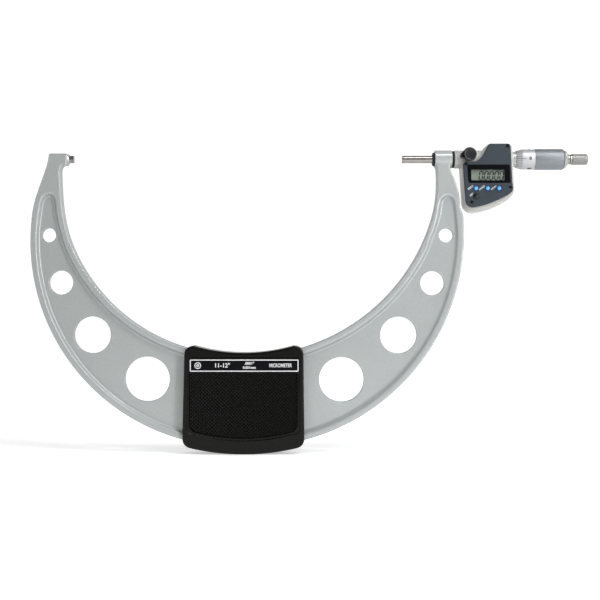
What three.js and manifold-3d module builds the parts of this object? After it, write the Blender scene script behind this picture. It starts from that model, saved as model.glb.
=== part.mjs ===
// Digital outside micrometer for 11 to 12 inches (279.4 to 304.8 mm).
// Millimetres, +Z up. +X runs along the spindle axis from the anvil to the thimble, and the display faces -Y.
// The origin is the centre of the anvil's measuring face. The spindle is at the shortest measure, 279.4 mm.
import * as THREE from "three";
import { mergeVertices } from "three/addons/utils/BufferGeometryUtils.js";
import Module from "manifold-3d";

const wasm = await Module();
wasm.setup();

// ---- driving dimensions -------------------------------------------------------------------------

const SHORTEST_MEASURE = 279.4; // gap between the faces with the spindle run right in
const TRAVEL = 25.4; // the spindle's travel
const FIT = 0.3; // gap between a part and the hole or recess that holds it
const RUNNING = 0.1; // gap between a turning shaft and its bore

const FRAME_HALF_THICK = 6.75;
const WEB_HALF_THICK = 3.0;
const LEFT_OUTER = { x: 137.87, z: -70.04, r: 174.0 }; // the U's rims are four arcs
const RIGHT_OUTER = { x: 150.39, z: -62.99, r: 181.27 };
const LEFT_INNER = { x: 138.64, z: -14.6, r: 151.62 };
const RIGHT_INNER = { x: 147.7, z: -2.92, r: 164.0 };
const RIM_JOIN_X = 144.0; // where the left and right arcs meet, inside the grip
const OUTER_RIM = 7.6; // rim widths, to the foot of the pocket walls
const INNER_RIM = 7.4;
const POCKET_DRAFT = 2.0;
const POCKET_LEFT_END = 98.5; // where the web pockets stop, under the grip
const POCKET_RIGHT_END = 190.5;

const ANVIL_RADIUS = 3.175;
const TIP_THICK = 1.6; // carbide tips
const ANVIL_BACK = -16.0;
const ANVIL_BOSS = { radius: 4.7, face: -3.7, shoulder: -5.4, back: -20.0 };
const HEAD_BOSS = { radius: 7.65, left: 307.1, right: 321.6 };
const SLEEVE_RADIUS = 5.6;
const SPINDLE_RADIUS = 3.175;
const THREAD_RADIUS = 3.8;

const GRIP_HALF_THICK = 11.0;
const GRIP_SEAM = 0.1;
const LABEL = { left: 99.5, right: 191.4, bottom: -180.2, top: -169.8, thick: 0.55, corner: 1.0 };
const GRIP_SCREWS = [
  [108, -190],
  [181, -190],
  [108, -231],
  [181, -231],
];

const HOUSING_FRONT = -10.0;
const HOUSING_BACK = 10.5;
const COVER_FRONT = -13.0;
const NECK_LEFT = 323.7;
const CAVITY_BACK = 0.5;
const LEVER = { x: 335.4, z: 3.1, radius: 5.8, nose: 8.1, shaft: 2.5 };
const BUTTON_RADIUS = 2.4;
const BUTTONS = {
  button_left: [340.6, -25.8],
  button_middle: [350.4, -25.8],
  button_right: [360.0, -25.8],
  button_lower: [340.6, -32.5],
};
const COVER_SCREWS = [
  [332.3, -5.3],
  [367.1, 9.9],
  [369.6, -24.8],
  [337.0, -37.3],
];
const BATTERY = { x: 352.0, z: -25.5, radius: 5.8, thick: 5.4 };
const PORT = { left: 337.4, right: 353.6, bottom: -41.3, top: -35.1, thick: 1.2 };

const ENCODER = { left: 352.3, right: 362.7, radius: 7.9 }; // the space that the ring encoder turns in
const ROTOR_LEFT = 355.0;
const ROTOR_THICK = 2.0;

const THIMBLE = { front: 376.2, bevel: 381.2, step: 392.0, chamfer: 414.8, back: 417.9 };
const THIMBLE_BORE = 6.9;
const RATCHET_LEFT = 423.9;
const RATCHET_RIGHT = 437.2;

// ---- making and combining solids ----------------------------------------------------------------

// A closed geometry as a solid that can be joined and cut.
function solid(geometry) {
  const bare = geometry.index ? geometry.toNonIndexed() : geometry.clone();
  bare.deleteAttribute("normal");
  bare.deleteAttribute("uv");
  const merged = mergeVertices(bare, 1e-4);
  return new wasm.Manifold(
    new wasm.Mesh({
      numProp: 3,
      vertProperties: merged.attributes.position.array,
      triVerts: new Uint32Array(merged.index.array),
    }),
  );
}

// A solid back as a geometry for a mesh.
function geometryOf(made) {
  const mesh = made.getMesh();
  const geometry = new THREE.BufferGeometry();
  geometry.setAttribute("position", new THREE.BufferAttribute(mesh.vertProperties, 3));
  geometry.setIndex(new THREE.BufferAttribute(mesh.triVerts, 1));
  geometry.computeVertexNormals();
  return geometry;
}

// An outline drawn in X and Z, made solid from y = front to y = back.
function slab(outline, front, back, curveSegments = 12) {
  const options = { depth: back - front, bevelEnabled: false, curveSegments };
  const geometry = new THREE.ExtrudeGeometry(outline, options);
  geometry.rotateX(Math.PI / 2);
  geometry.translate(0, back, 0);
  return solid(geometry);
}

// A solid turned about the spindle axis. Each point of the profile is [x, radius].
function turned(profile, sides = 32) {
  const points = profile.map(([x, radius]) => new THREE.Vector2(radius, x));
  const geometry = new THREE.LatheGeometry(points, sides);
  geometry.rotateZ(-Math.PI / 2);
  return solid(geometry);
}

// A ring or tube about the spindle axis.
function tube(left, right, inner, outer, sides = 32) {
  const profile = [
    [left, inner],
    [left, outer],
    [right, outer],
    [right, inner],
    [left, inner],
  ];
  return turned(profile, sides);
}

// A rod about the spindle axis.
function rod(left, right, radius, sides = 32) {
  const profile = [
    [left, 0],
    [left, radius],
    [right, radius],
    [right, 0],
  ];
  return turned(profile, sides);
}

// A solid turned about a line along Y through (x, z). Each point of the profile is [y, radius].
function turnedAcross(x, z, profile, sides = 24) {
  const points = profile.map(([y, radius]) => new THREE.Vector2(radius, y));
  const geometry = new THREE.LatheGeometry(points, sides);
  geometry.translate(x, 0, z);
  return solid(geometry);
}

// A pin along Y.
function pin(x, z, front, back, radius, sides = 24) {
  const profile = [
    [front, 0],
    [front, radius],
    [back, radius],
    [back, 0],
  ];
  return turnedAcross(x, z, profile, sides);
}

// A block between two opposite corners.
function block(low, high) {
  const size = high.map((value, i) => value - low[i]);
  const geometry = new THREE.BoxGeometry(...size);
  geometry.translate(...high.map((value, i) => (value + low[i]) / 2));
  return solid(geometry);
}

// A rectangle in X and Z with round corners.
function roundedRectangle(left, right, bottom, top, corner) {
  const shape = new THREE.Shape();
  shape.moveTo(left + corner, bottom);
  shape.lineTo(right - corner, bottom);
  shape.absarc(right - corner, bottom + corner, corner, -Math.PI / 2, 0, false);
  shape.absarc(right - corner, top - corner, corner, 0, Math.PI / 2, false);
  shape.absarc(left + corner, top - corner, corner, Math.PI / 2, Math.PI, false);
  shape.absarc(left + corner, bottom + corner, corner, Math.PI, Math.PI * 1.5, false);
  return shape;
}

// The angle at which an arc crosses a height z, on its right side (+1) or left side (-1).
function angleAtZ(arc, z, side) {
  const rise = z - arc.z;
  return Math.atan2(rise, side * Math.sqrt(arc.r ** 2 - rise ** 2));
}

// The angle at which an arc crosses x in its lower half.
function angleAtX(arc, x) {
  const run = x - arc.x;
  return Math.atan2(-Math.sqrt(arc.r ** 2 - run ** 2), run);
}

function shrunk(arc, by) {
  return { x: arc.x, z: arc.z, r: arc.r - by };
}

const whole = new THREE.Group();

// Puts a solid in the object under its node name.
function add(name, made, colour, roughness, metalness) {
  const material = new THREE.MeshStandardMaterial({ color: colour, roughness, metalness });
  const mesh = new THREE.Mesh(geometryOf(made), material);
  mesh.name = name;
  whole.add(mesh);
}

const ENAMEL = [0xaeb3b1, 0.45, 0.1];
const HEAD_GREY = [0xcfd0cc, 0.45, 0.05];
const STEEL = [0xb9bcc0, 0.22, 1.0];
const SATIN = [0x9aa1a8, 0.38, 1.0];
const CARBIDE = [0x6d6a72, 0.25, 1.0];
const BLACK_RUBBER = [0x0c0c0e, 0.7, 0.0];
const BLACK_PLASTIC = [0x131310, 0.5, 0.0];
const COVER_BLUE_GREY = [0x434c55, 0.5, 0.1];
const BRASS = [0xb08d4a, 0.3, 1.0];

// ---- frame --------------------------------------------------------------------------------------

// The side outline of the U. grow widens the rims' arcs, for the space that the grip leaves round the frame.
function frameOutline(grow = 0) {
  const leftOuter = shrunk(LEFT_OUTER, -grow);
  const rightOuter = shrunk(RIGHT_OUTER, -grow);
  const leftInner = shrunk(LEFT_INNER, grow);
  const rightInner = shrunk(RIGHT_INNER, grow);
  const full = 2 * Math.PI;
  const shape = new THREE.Shape();
  shape.moveTo(-20.5, 4.5);
  shape.lineTo(-20.9, -2.9);
  shape.lineTo(-30.2, -28.6);
  shape.quadraticCurveTo(-33.8, -38.6, -35.2, -52.0);
  const leftStart = angleAtZ(leftOuter, -52.0, -1);
  const leftEnd = angleAtX(leftOuter, RIM_JOIN_X - 1) + full;
  shape.absarc(leftOuter.x, leftOuter.z, leftOuter.r, leftStart, leftEnd, false);
  const rightStart = angleAtX(rightOuter, RIM_JOIN_X + 1);
  const rightEnd = angleAtZ(rightOuter, -49.0, 1);
  shape.absarc(rightOuter.x, rightOuter.z, rightOuter.r, rightStart, rightEnd, false);
  shape.lineTo(328.1, -40.1); // relief beside the head
  shape.lineTo(327.8, -35.1);
  shape.quadraticCurveTo(327.35, -23.9, 319.8, -8.8);
  shape.lineTo(319.8, 3.0);
  shape.lineTo(308.0, 3.0);
  shape.lineTo(307.6, -5.1);
  shape.lineTo(309.1, -11.6);
  shape.lineTo(308.65, -25.3);
  shape.quadraticCurveTo(307.9, -47.2, 296.4, -72.0);
  const innerRightStart = angleAtZ(rightInner, -72.0, 1);
  const innerRightEnd = angleAtX(rightInner, RIM_JOIN_X + 2);
  shape.absarc(rightInner.x, rightInner.z, rightInner.r, innerRightStart, innerRightEnd, true);
  const innerLeftStart = angleAtX(leftInner, RIM_JOIN_X - 4);
  const innerLeftEnd = angleAtZ(leftInner, -75.0, -1);
  shape.absarc(leftInner.x, leftInner.z, leftInner.r, innerLeftStart, innerLeftEnd, true);
  shape.quadraticCurveTo(-8.9, -55.5, -10.26, -27.4);
  shape.lineTo(-10.96, -12.9);
  shape.quadraticCurveTo(-10.9, -6.4, -8.6, -5.1);
  shape.lineTo(-5.2, -4.7);
  shape.lineTo(-5.2, 4.5);
  return shape;
}

// The floor of the left web pocket.
function leftPocket() {
  const outer = shrunk(LEFT_OUTER, OUTER_RIM);
  const inner = shrunk(LEFT_INNER, -INNER_RIM);
  const full = 2 * Math.PI;
  const shape = new THREE.Shape();
  shape.moveTo(-19.8, -32.0);
  shape.quadraticCurveTo(-24.5, -32.6, -25.6, -40.0);
  const start = angleAtZ(outer, -56.0, -1);
  const end = angleAtX(outer, POCKET_LEFT_END) + full;
  shape.absarc(outer.x, outer.z, outer.r, start, end, false);
  const back = angleAtX(inner, POCKET_LEFT_END);
  const top = angleAtZ(inner, -76.0, -1);
  shape.absarc(inner.x, inner.z, inner.r, back, top, true);
  shape.quadraticCurveTo(-15.2, -56.0, -16.6, -38.0);
  shape.quadraticCurveTo(-17.0, -32.4, -19.8, -32.0);
  return shape;
}

// The floor of the right web pocket.
function rightPocket() {
  const outer = shrunk(RIGHT_OUTER, OUTER_RIM);
  const inner = shrunk(RIGHT_INNER, -INNER_RIM);
  const shape = new THREE.Shape();
  shape.moveTo(317.6, -33.2);
  shape.quadraticCurveTo(313.8, -33.6, 313.0, -40.0);
  shape.quadraticCurveTo(311.4, -54.0, 304.2, -70.4);
  const start = angleAtZ(inner, -76.0, 1);
  const end = angleAtX(inner, POCKET_RIGHT_END);
  shape.absarc(inner.x, inner.z, inner.r, start, end, true);
  const back = angleAtX(outer, POCKET_RIGHT_END);
  const top = angleAtZ(outer, -58.0, 1);
  shape.absarc(outer.x, outer.z, outer.r, back, top, false);
  shape.lineTo(322.0, -38.5);
  shape.quadraticCurveTo(321.0, -33.4, 317.6, -33.2);
  return shape;
}

// Cuts one pocket into both faces. The walls lean outwards by POCKET_DRAFT from the web to the face.
function pocketCutters(floor) {
  const rise = FRAME_HALF_THICK - WEB_HALF_THICK;
  const options = {
    depth: 2,
    bevelEnabled: true,
    bevelThickness: rise,
    bevelSize: POCKET_DRAFT,
    bevelSegments: 1,
    curveSegments: 12,
  };
  return [-1, 1].map((side) => {
    const geometry = new THREE.ExtrudeGeometry(floor, options);
    geometry.rotateX(Math.PI / 2);
    geometry.translate(0, side < 0 ? -FRAME_HALF_THICK : FRAME_HALF_THICK + 2, 0);
    return solid(geometry);
  });
}

const WEB_HOLES = [
  [-20.9, -64.6, 6.0],
  [-10.6, -104.9, 10.2],
  [16.1, -149.3, 15.6],
  [62.8, -186.9, 19.0],
  [316.6, -64.7, 6.0],
  [304.9, -105.3, 10.2],
  [276.2, -149.5, 15.6],
  [227.7, -187.3, 19.0],
];

function frame() {
  let made = slab(frameOutline(), -FRAME_HALF_THICK, FRAME_HALF_THICK);
  const anvilBoss = turned([
    [ANVIL_BOSS.back, 0],
    [ANVIL_BOSS.back, ANVIL_BOSS.radius],
    [ANVIL_BOSS.shoulder, ANVIL_BOSS.radius],
    [ANVIL_BOSS.face, ANVIL_BOSS.radius - 0.9],
    [ANVIL_BOSS.face, 0],
  ]);
  made = made.add(anvilBoss).add(rod(HEAD_BOSS.left, HEAD_BOSS.right, HEAD_BOSS.radius));
  for (const cutter of [...pocketCutters(leftPocket()), ...pocketCutters(rightPocket())])
    made = made.subtract(cutter);
  for (const [x, z, radius] of WEB_HOLES)
    made = made.subtract(pin(x, z, -FRAME_HALF_THICK - 1, FRAME_HALF_THICK + 1, radius, 32));
  for (const [x, z] of GRIP_SCREWS)
    made = made.subtract(pin(x, z, -FRAME_HALF_THICK - 1, FRAME_HALF_THICK + 1, 1.5 + FIT, 16));
  made = made.subtract(rod(ANVIL_BACK - FIT, ANVIL_BOSS.face + 1, ANVIL_RADIUS + FIT));
  made = made.subtract(rod(HEAD_BOSS.left - 3, HEAD_BOSS.right + 1, SLEEVE_RADIUS + FIT));
  return made;
}

add("frame", frame(), ...ENAMEL);

// ---- anvil --------------------------------------------------------------------------------------

add("anvil", rod(ANVIL_BACK, -TIP_THICK, ANVIL_RADIUS), ...STEEL);

const anvilTip = turned([
  [-TIP_THICK, 0],
  [-TIP_THICK, ANVIL_RADIUS],
  [-0.2, ANVIL_RADIUS],
  [0, ANVIL_RADIUS - 0.2],
  [0, 0],
]);
add("anvil_tip", anvilTip, ...CARBIDE);

// ---- grip: two moulded halves that clasp the bottom of the U -------------------------------------

function gripOutline() {
  const topArc = { x: 145.0, z: -11.9, r: 152.4 };
  const bottomArc = { x: 144.7, z: -53.2, r: 197.0 };
  const shape = new THREE.Shape();
  shape.moveTo(94.75, -166.0);
  shape.lineTo(93.1, -236.0);
  shape.quadraticCurveTo(92.9, -243.9, 101.0, -245.2);
  const bottomStart = angleAtX(bottomArc, 102.0);
  const bottomEnd = angleAtX(bottomArc, 187.6);
  shape.absarc(bottomArc.x, bottomArc.z, bottomArc.r, bottomStart, bottomEnd, false);
  shape.lineTo(188.5, -245.2);
  shape.quadraticCurveTo(196.4, -243.9, 196.2, -236.0);
  shape.lineTo(195.4, -166.0);
  shape.quadraticCurveTo(195.3, -158.7, 187.2, -158.4);
  const topStart = angleAtX(topArc, 186.5);
  const topEnd = angleAtX(topArc, 103.5);
  shape.absarc(topArc.x, topArc.z, topArc.r, topStart, topEnd, true);
  shape.lineTo(103.0, -158.4);
  shape.quadraticCurveTo(94.9, -158.7, 94.75, -166.0);
  return shape;
}

// One half of the grip: side -1 is the front half, +1 the rear half.
function gripHalf(side) {
  const near = GRIP_SEAM;
  const far = GRIP_HALF_THICK;
  const made =
    side < 0 ? slab(gripOutline(), -far, -near, 8) : slab(gripOutline(), near, far, 8);
  const hollow = FRAME_HALF_THICK + FIT;
  return made.subtract(slab(frameOutline(FIT), -hollow, hollow));
}

function frontGrip() {
  let made = gripHalf(-1);
  const recess = roundedRectangle(
    LABEL.left - FIT,
    LABEL.right + FIT,
    LABEL.bottom - FIT,
    LABEL.top + FIT,
    LABEL.corner + FIT,
  );
  made = made.subtract(slab(recess, -GRIP_HALF_THICK - 1, -GRIP_HALF_THICK + LABEL.thick, 3));
  for (const [x, z] of GRIP_SCREWS) made = made.subtract(pin(x, z, -9.4, 1, 1.5 + FIT, 16));
  return made;
}

function rearGrip() {
  let made = gripHalf(1);
  for (const [x, z] of GRIP_SCREWS) {
    made = made.subtract(pin(x, z, 0, GRIP_HALF_THICK + 1, 1.5 + FIT, 16));
    made = made.subtract(pin(x, z, 8.5, GRIP_HALF_THICK + 1, 2.75 + FIT, 20));
  }
  return made;
}

// A cap screw whose head is at the back, seated at y = seat.
function capScrew(x, z, tip, seat, top, shank, head) {
  const socket = pin(x, z, top - 0.6 * (top - seat), top + 1, head * 0.5, 6);
  const profile = [
    [tip, 0],
    [tip, shank],
    [seat, shank],
    [seat, head],
    [top, head],
    [top, 0],
  ];
  return turnedAcross(x, z, profile, 14).subtract(socket);
}

add("front_grip", frontGrip(), ...BLACK_PLASTIC);
add("rear_grip", rearGrip(), ...BLACK_PLASTIC);
GRIP_SCREWS.forEach(([x, z], i) =>
  add(`grip_screw_${i + 1}`, capScrew(x, z, -9.0, 8.6, 10.4, 1.5, 2.75), ...STEEL),
);

const label = roundedRectangle(LABEL.left, LABEL.right, LABEL.bottom, LABEL.top, LABEL.corner);
add(
  "label_plate",
  slab(label, -GRIP_HALF_THICK, -GRIP_HALF_THICK + LABEL.thick - 0.05, 3),
  ...[0x1b1b1b, 0.35, 0.0],
);

// ---- head housing and what fills it --------------------------------------------------------------

function housingOutline() {
  const shape = new THREE.Shape();
  shape.moveTo(332.0, -2.1);
  shape.lineTo(336.0, -2.1);
  shape.bezierCurveTo(347.0, -2.1, 347.6, 12.0, 352.2, 12.0);
  shape.lineTo(368.4, 12.0);
  shape.quadraticCurveTo(371.5, 12.0, 371.6, 9.0);
  shape.lineTo(373.4, -25.5);
  shape.quadraticCurveTo(373.5, -31.3, 368.0, -35.0);
  shape.quadraticCurveTo(356.0, -43.6, 341.5, -45.2);
  shape.quadraticCurveTo(332.2, -45.9, 331.0, -36.3);
  shape.lineTo(328.9, -6.0);
  shape.quadraticCurveTo(328.8, -2.2, 332.0, -2.1);
  return shape;
}

function cavityOutline() {
  const shape = new THREE.Shape();
  shape.moveTo(331.3, -8.3);
  shape.lineTo(367.0, -8.3);
  shape.lineTo(367.0, -31.5);
  shape.lineTo(358.0, -37.2);
  shape.lineTo(348.0, -41.0);
  shape.lineTo(341.6, -41.8);
  shape.lineTo(341.6, -35.9);
  shape.lineTo(333.2, -35.1);
  return shape;
}

function headHousing() {
  let made = slab(housingOutline(), HOUSING_FRONT, HOUSING_BACK, 8);
  made = made.add(rod(NECK_LEFT, 352.5, HEAD_BOSS.radius));
  made = made.add(pin(LEVER.x, LEVER.z, HOUSING_FRONT, -2.0, 4.8, 24));
  made = made.subtract(rod(NECK_LEFT - 1, 380, SLEEVE_RADIUS + FIT));
  made = made.subtract(rod(ENCODER.left, ENCODER.right, ENCODER.radius));
  made = made.subtract(pin(LEVER.x, LEVER.z, HOUSING_FRONT - 1, -4, LEVER.shaft + FIT, 20));
  made = made.subtract(slab(cavityOutline(), HOUSING_FRONT - 1, CAVITY_BACK));
  const chamber = BATTERY.radius + 1.6;
  made = made.subtract(pin(BATTERY.x, BATTERY.z, 1.8, HOUSING_BACK + 1, chamber, 32));
  made = made.subtract(pin(BATTERY.x, BATTERY.z, 0, 3, 1.5, 16)); // way for the battery contact
  const recess = roundedRectangle(
    PORT.left - FIT,
    PORT.right + FIT,
    PORT.bottom - FIT,
    PORT.top + FIT,
    2.3,
  );
  made = made.subtract(slab(recess, HOUSING_BACK - PORT.thick, HOUSING_BACK + 1, 4));
  for (const x of portScrewPlaces)
    made = made.subtract(pin(x, portMiddle, 6.6, HOUSING_BACK, 0.8 + FIT, 12));
  for (const [x, z] of COVER_SCREWS)
    made = made.subtract(pin(x, z, HOUSING_FRONT - 1, -6.2, 0.8 + FIT, 12));
  return made;
}

const portMiddle = (PORT.bottom + PORT.top) / 2;
const portScrewPlaces = [PORT.left + 2.2, PORT.right - 2.2];

add("head_housing", headHousing(), ...HEAD_GREY);

function coverOutline() {
  const shape = new THREE.Shape();
  shape.moveTo(333.0, -3.2);
  shape.lineTo(337.0, -3.2);
  shape.bezierCurveTo(348.5, -3.2, 348.8, 12.0, 353.2, 12.0);
  shape.lineTo(366.8, 12.0);
  shape.quadraticCurveTo(369.7, 12.0, 369.9, 9.2);
  shape.lineTo(371.2, -19.0);
  shape.lineTo(372.0, -25.0);
  shape.quadraticCurveTo(372.3, -28.2, 369.2, -30.2);
  shape.quadraticCurveTo(356.0, -38.2, 341.0, -41.3);
  shape.quadraticCurveTo(333.2, -43.0, 331.9, -36.0);
  shape.lineTo(329.9, -7.0);
  shape.quadraticCurveTo(329.7, -3.2, 333.0, -3.2);
  return shape;
}

const BEZEL = { left: 333.2, right: 369.5, bottom: -21.1, top: -5.9, corner: 1.3 };
const WINDOW = { left: 336.6, right: 364.9, bottom: -19.0, top: -10.0 };

// The bezel's outline, grown by gap. Its left edge leans in towards the bottom.
function bezelOutline(gap) {
  const { left, right, bottom, top, corner } = BEZEL;
  const shape = new THREE.Shape();
  shape.moveTo(left - gap, top - corner);
  shape.lineTo(left + 1.0 - gap, bottom + corner);
  shape.quadraticCurveTo(left + 1.1 - gap, bottom - gap, left + 1.1 + corner, bottom - gap);
  shape.lineTo(right - corner, bottom - gap);
  shape.quadraticCurveTo(right + gap, bottom - gap, right + gap, bottom + corner);
  shape.lineTo(right - 0.5 + gap, top - corner);
  shape.quadraticCurveTo(right - 0.5 + gap, top + gap, right - 0.5 - corner, top + gap);
  shape.lineTo(left + corner, top + gap);
  shape.quadraticCurveTo(left - gap, top + gap, left - gap, top - corner);
  return shape;
}

function frontCover() {
  let made = slab(coverOutline(), COVER_FRONT, HOUSING_FRONT, 8);
  made = made.subtract(slab(bezelOutline(FIT), COVER_FRONT - 1, HOUSING_FRONT + 1, 3));
  for (const [x, z] of Object.values(BUTTONS))
    made = made.subtract(pin(x, z, COVER_FRONT - 1, HOUSING_FRONT + 1, BUTTON_RADIUS + FIT, 20));
  for (const [x, z] of COVER_SCREWS) {
    made = made.subtract(pin(x, z, COVER_FRONT - 1, HOUSING_FRONT + 1, 0.8 + FIT, 12));
    made = made.subtract(pin(x, z, COVER_FRONT - 1, -11.5, 1.15 + FIT, 12));
  }
  return made;
}

add("front_cover", frontCover(), ...COVER_BLUE_GREY);

// A small cap screw whose head faces the front.
function coverScrew(x, z) {
  const profile = [
    [-12.9, 0],
    [-12.9, 1.15],
    [-11.6, 1.15],
    [-11.6, 0.8],
    [-6.5, 0.8],
    [-6.5, 0],
  ];
  const socket = pin(x, z, -14, -12.1, 0.6, 6);
  return turnedAcross(x, z, profile, 12).subtract(socket);
}

COVER_SCREWS.forEach(([x, z], i) =>
  add(`cover_screw_${i + 1}`, coverScrew(x, z), ...[0x151515, 0.4, 0.8]),
);

function displayBezel() {
  const opening = roundedRectangle(WINDOW.left, WINDOW.right, WINDOW.bottom, WINDOW.top, 0.5);
  return slab(bezelOutline(0), -13.2, -12.2, 3).subtract(slab(opening, -14, -12, 2));
}

add("display_bezel", displayBezel(), ...[0x050505, 0.15, 0.0]);
add(
  "display_window",
  block([334.9, -12.15, -20.6], [366.6, -11.25, -8.6]),
  ...[0xdfe8e8, 0.05, 0.0],
);
add("lcd_panel", block([335.3, -11.1, -20.4], [366.4, -9.2, -8.7]), ...[0x96a08e, 0.3, 0.0]);

function circuitBoard() {
  const shape = new THREE.Shape();
  shape.moveTo(332.0, -9.0);
  shape.lineTo(366.4, -9.0);
  shape.lineTo(366.4, -31.0);
  shape.lineTo(357.8, -36.4);
  shape.lineTo(347.8, -40.2);
  shape.lineTo(342.2, -41.0);
  shape.lineTo(342.2, -35.2);
  shape.lineTo(333.9, -34.4);
  return slab(shape, -5.2, -4.2);
}

add("circuit_board", circuitBoard(), ...[0x1d5a34, 0.5, 0.0]);

// A push button: cap, retaining flange behind the cover, and stem to its switch.
function button(x, z) {
  const profile = [
    [-14.3, 0],
    [-14.3, BUTTON_RADIUS - 0.5],
    [-13.8, BUTTON_RADIUS],
    [-9.8, BUTTON_RADIUS],
    [-9.8, BUTTON_RADIUS + 0.5],
    [-9.0, BUTTON_RADIUS + 0.5],
    [-9.0, 1.3],
    [-6.2, 1.3],
    [-6.2, 0],
  ];
  return turnedAcross(x, z, profile, 14);
}

for (const [name, [x, z]] of Object.entries(BUTTONS)) {
  const colour = name === "button_lower" ? 0x0a0a0c : 0x2f7fd6;
  add(name, button(x, z), colour, 0.35, 0.0);
}

// ---- battery and data port, on the back of the housing -------------------------------------------

add(
  "coin_cell",
  pin(BATTERY.x, BATTERY.z, 2.1, 2.1 + BATTERY.thick, BATTERY.radius, 32),
  ...STEEL,
);

function batteryCap() {
  const radius = BATTERY.radius + 1.6 - FIT;
  const profile = [
    [7.8, 0],
    [7.8, radius - 1.0],
    [9.2, radius - 1.0],
    [9.2, radius],
    [10.6, radius],
    [11.0, radius - 0.4],
    [11.0, 0],
  ];
  const slot = block(
    [BATTERY.x - radius * 0.7, 10.1, BATTERY.z - 0.7],
    [BATTERY.x + radius * 0.7, 12, BATTERY.z + 0.7],
  );
  return turnedAcross(BATTERY.x, BATTERY.z, profile, 32).subtract(slot);
}

add("battery_cap", batteryCap(), ...[0x6a6d70, 0.5, 0.2]);

const batterySeal = turnedAcross(
  BATTERY.x,
  BATTERY.z,
  [
    [8.0, BATTERY.radius + 0.35],
    [8.0, BATTERY.radius + 1.4],
    [9.1, BATTERY.radius + 1.4],
    [9.1, BATTERY.radius + 0.35],
    [8.0, BATTERY.radius + 0.35],
  ],
  32,
);
add("battery_seal", batterySeal, ...BLACK_RUBBER);

function portCover() {
  const outline = roundedRectangle(PORT.left, PORT.right, PORT.bottom, PORT.top, 2.0);
  let made = slab(outline, HOUSING_BACK - PORT.thick + 0.05, HOUSING_BACK, 4);
  for (const x of portScrewPlaces) {
    made = made.subtract(pin(x, portMiddle, 5, 12, 0.8 + FIT, 12));
    made = made.subtract(pin(x, portMiddle, 9.9, 12, 1.4 + FIT, 14));
  }
  return made;
}

add("port_cover", portCover(), ...BLACK_PLASTIC);
portScrewPlaces.forEach((x, i) =>
  add(`port_screw_${i + 1}`, capScrew(x, portMiddle, 7.0, 9.95, 10.45, 0.8, 1.4), ...STEEL),
);

// ---- spindle bearings, seals, clamp and encoder ---------------------------------------------------

add("spindle_wiper", tube(305.1, 307.0, SPINDLE_RADIUS + RUNNING, 5.95), ...BLACK_RUBBER);
add("neck_seal", tube(HEAD_BOSS.right + 0.1, NECK_LEFT - 0.1, 6.0, 7.25), ...BLACK_RUBBER);

function frontSleeve() {
  const slot = block([333.0, -7, -2.0], [337.8, -2.5, 2.0]);
  return tube(307.4, 351.8, SPINDLE_RADIUS + RUNNING, SLEEVE_RADIUS).subtract(slot);
}

add("front_sleeve", frontSleeve(), ...STEEL);

// The lever's outline: a round knob with a short nose that points away from the display.
function leverOutline() {
  const { x, z, radius, nose } = LEVER;
  const shape = new THREE.Shape();
  const upper = (150 * Math.PI) / 180;
  const lower = (242 * Math.PI) / 180;
  shape.absarc(x, z, radius, lower - 2 * Math.PI, upper, false);
  shape.quadraticCurveTo(x - nose + 1.2, z + 1.3, x - nose + 0.3, z + 0.2);
  shape.quadraticCurveTo(x - nose - 0.3, z - 1.6, x - nose + 0.6, z - 3.4);
  shape.quadraticCurveTo(x - 5.4, z - 3.6, x + radius * Math.cos(lower), z + radius * Math.sin(lower));
  return shape;
}

function clampLever() {
  const knob = slab(leverOutline(), -14.2, HOUSING_FRONT - FIT, 8);
  return knob.add(pin(LEVER.x, LEVER.z, HOUSING_FRONT - 1, -5.95, LEVER.shaft, 20));
}

add("clamp_lever", clampLever(), ...[0x24292e, 0.5, 0.0]);
add("clamp_shoe", block([333.4, -5.6, -1.6], [337.4, -3.45, 1.6]), ...BRASS);

// The rotor turns with the spindle: its tooth runs in the spindle's keyway.
function encoderRotor() {
  const right = ROTOR_LEFT + ROTOR_THICK;
  const ring = tube(ROTOR_LEFT, right, SPINDLE_RADIUS + RUNNING, 6.9, 40);
  return ring.add(block([ROTOR_LEFT, -0.5, 2.4], [right, 0.5, 3.9]));
}

add("encoder_rotor", encoderRotor(), ...[0xc9a24b, 0.4, 0.3]);
add("encoder_stator", tube(358.0, 359.6, 4.3, 7.5), ...[0x1d5a34, 0.5, 0.0]);

function rearSleeve() {
  const profile = [
    [363.0, SPINDLE_RADIUS + RUNNING],
    [363.0, SLEEVE_RADIUS],
    [402.0, SLEEVE_RADIUS],
    [402.0, 4.9],
    [410.4, 4.9],
    [410.4, THREAD_RADIUS + RUNNING],
    [371.0, THREAD_RADIUS + RUNNING],
    [371.0, SPINDLE_RADIUS + RUNNING],
    [363.0, SPINDLE_RADIUS + RUNNING],
  ];
  return turned(profile);
}

add("rear_sleeve", rearSleeve(), ...STEEL);
add("graduated_sleeve", tube(372.9, 401.5, SLEEVE_RADIUS + FIT, 6.55), ...SATIN);
add("adjusting_nut", tube(403.0, 409.5, 4.9 + FIT, 6.6), ...STEEL);

// ---- spindle, thimble and ratchet -----------------------------------------------------------------

function spindle() {
  const profile = [
    [SHORTEST_MEASURE + TIP_THICK, 0],
    [SHORTEST_MEASURE + TIP_THICK, SPINDLE_RADIUS],
    [371.6, SPINDLE_RADIUS],
    [371.6, THREAD_RADIUS],
    [410.9, THREAD_RADIUS],
    [410.9, 4.45],
    [416.8, 3.7],
    [416.8, 1.85],
    [404.0, 1.85],
    [404.0, 0],
  ];
  const keyway = block(
    [ROTOR_LEFT - TRAVEL - 1, -0.85, 2.1],
    [ROTOR_LEFT + ROTOR_THICK + 1, 0.85, 4],
  );
  return turned(profile).subtract(keyway);
}

add("spindle", spindle(), ...STEEL);

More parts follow.
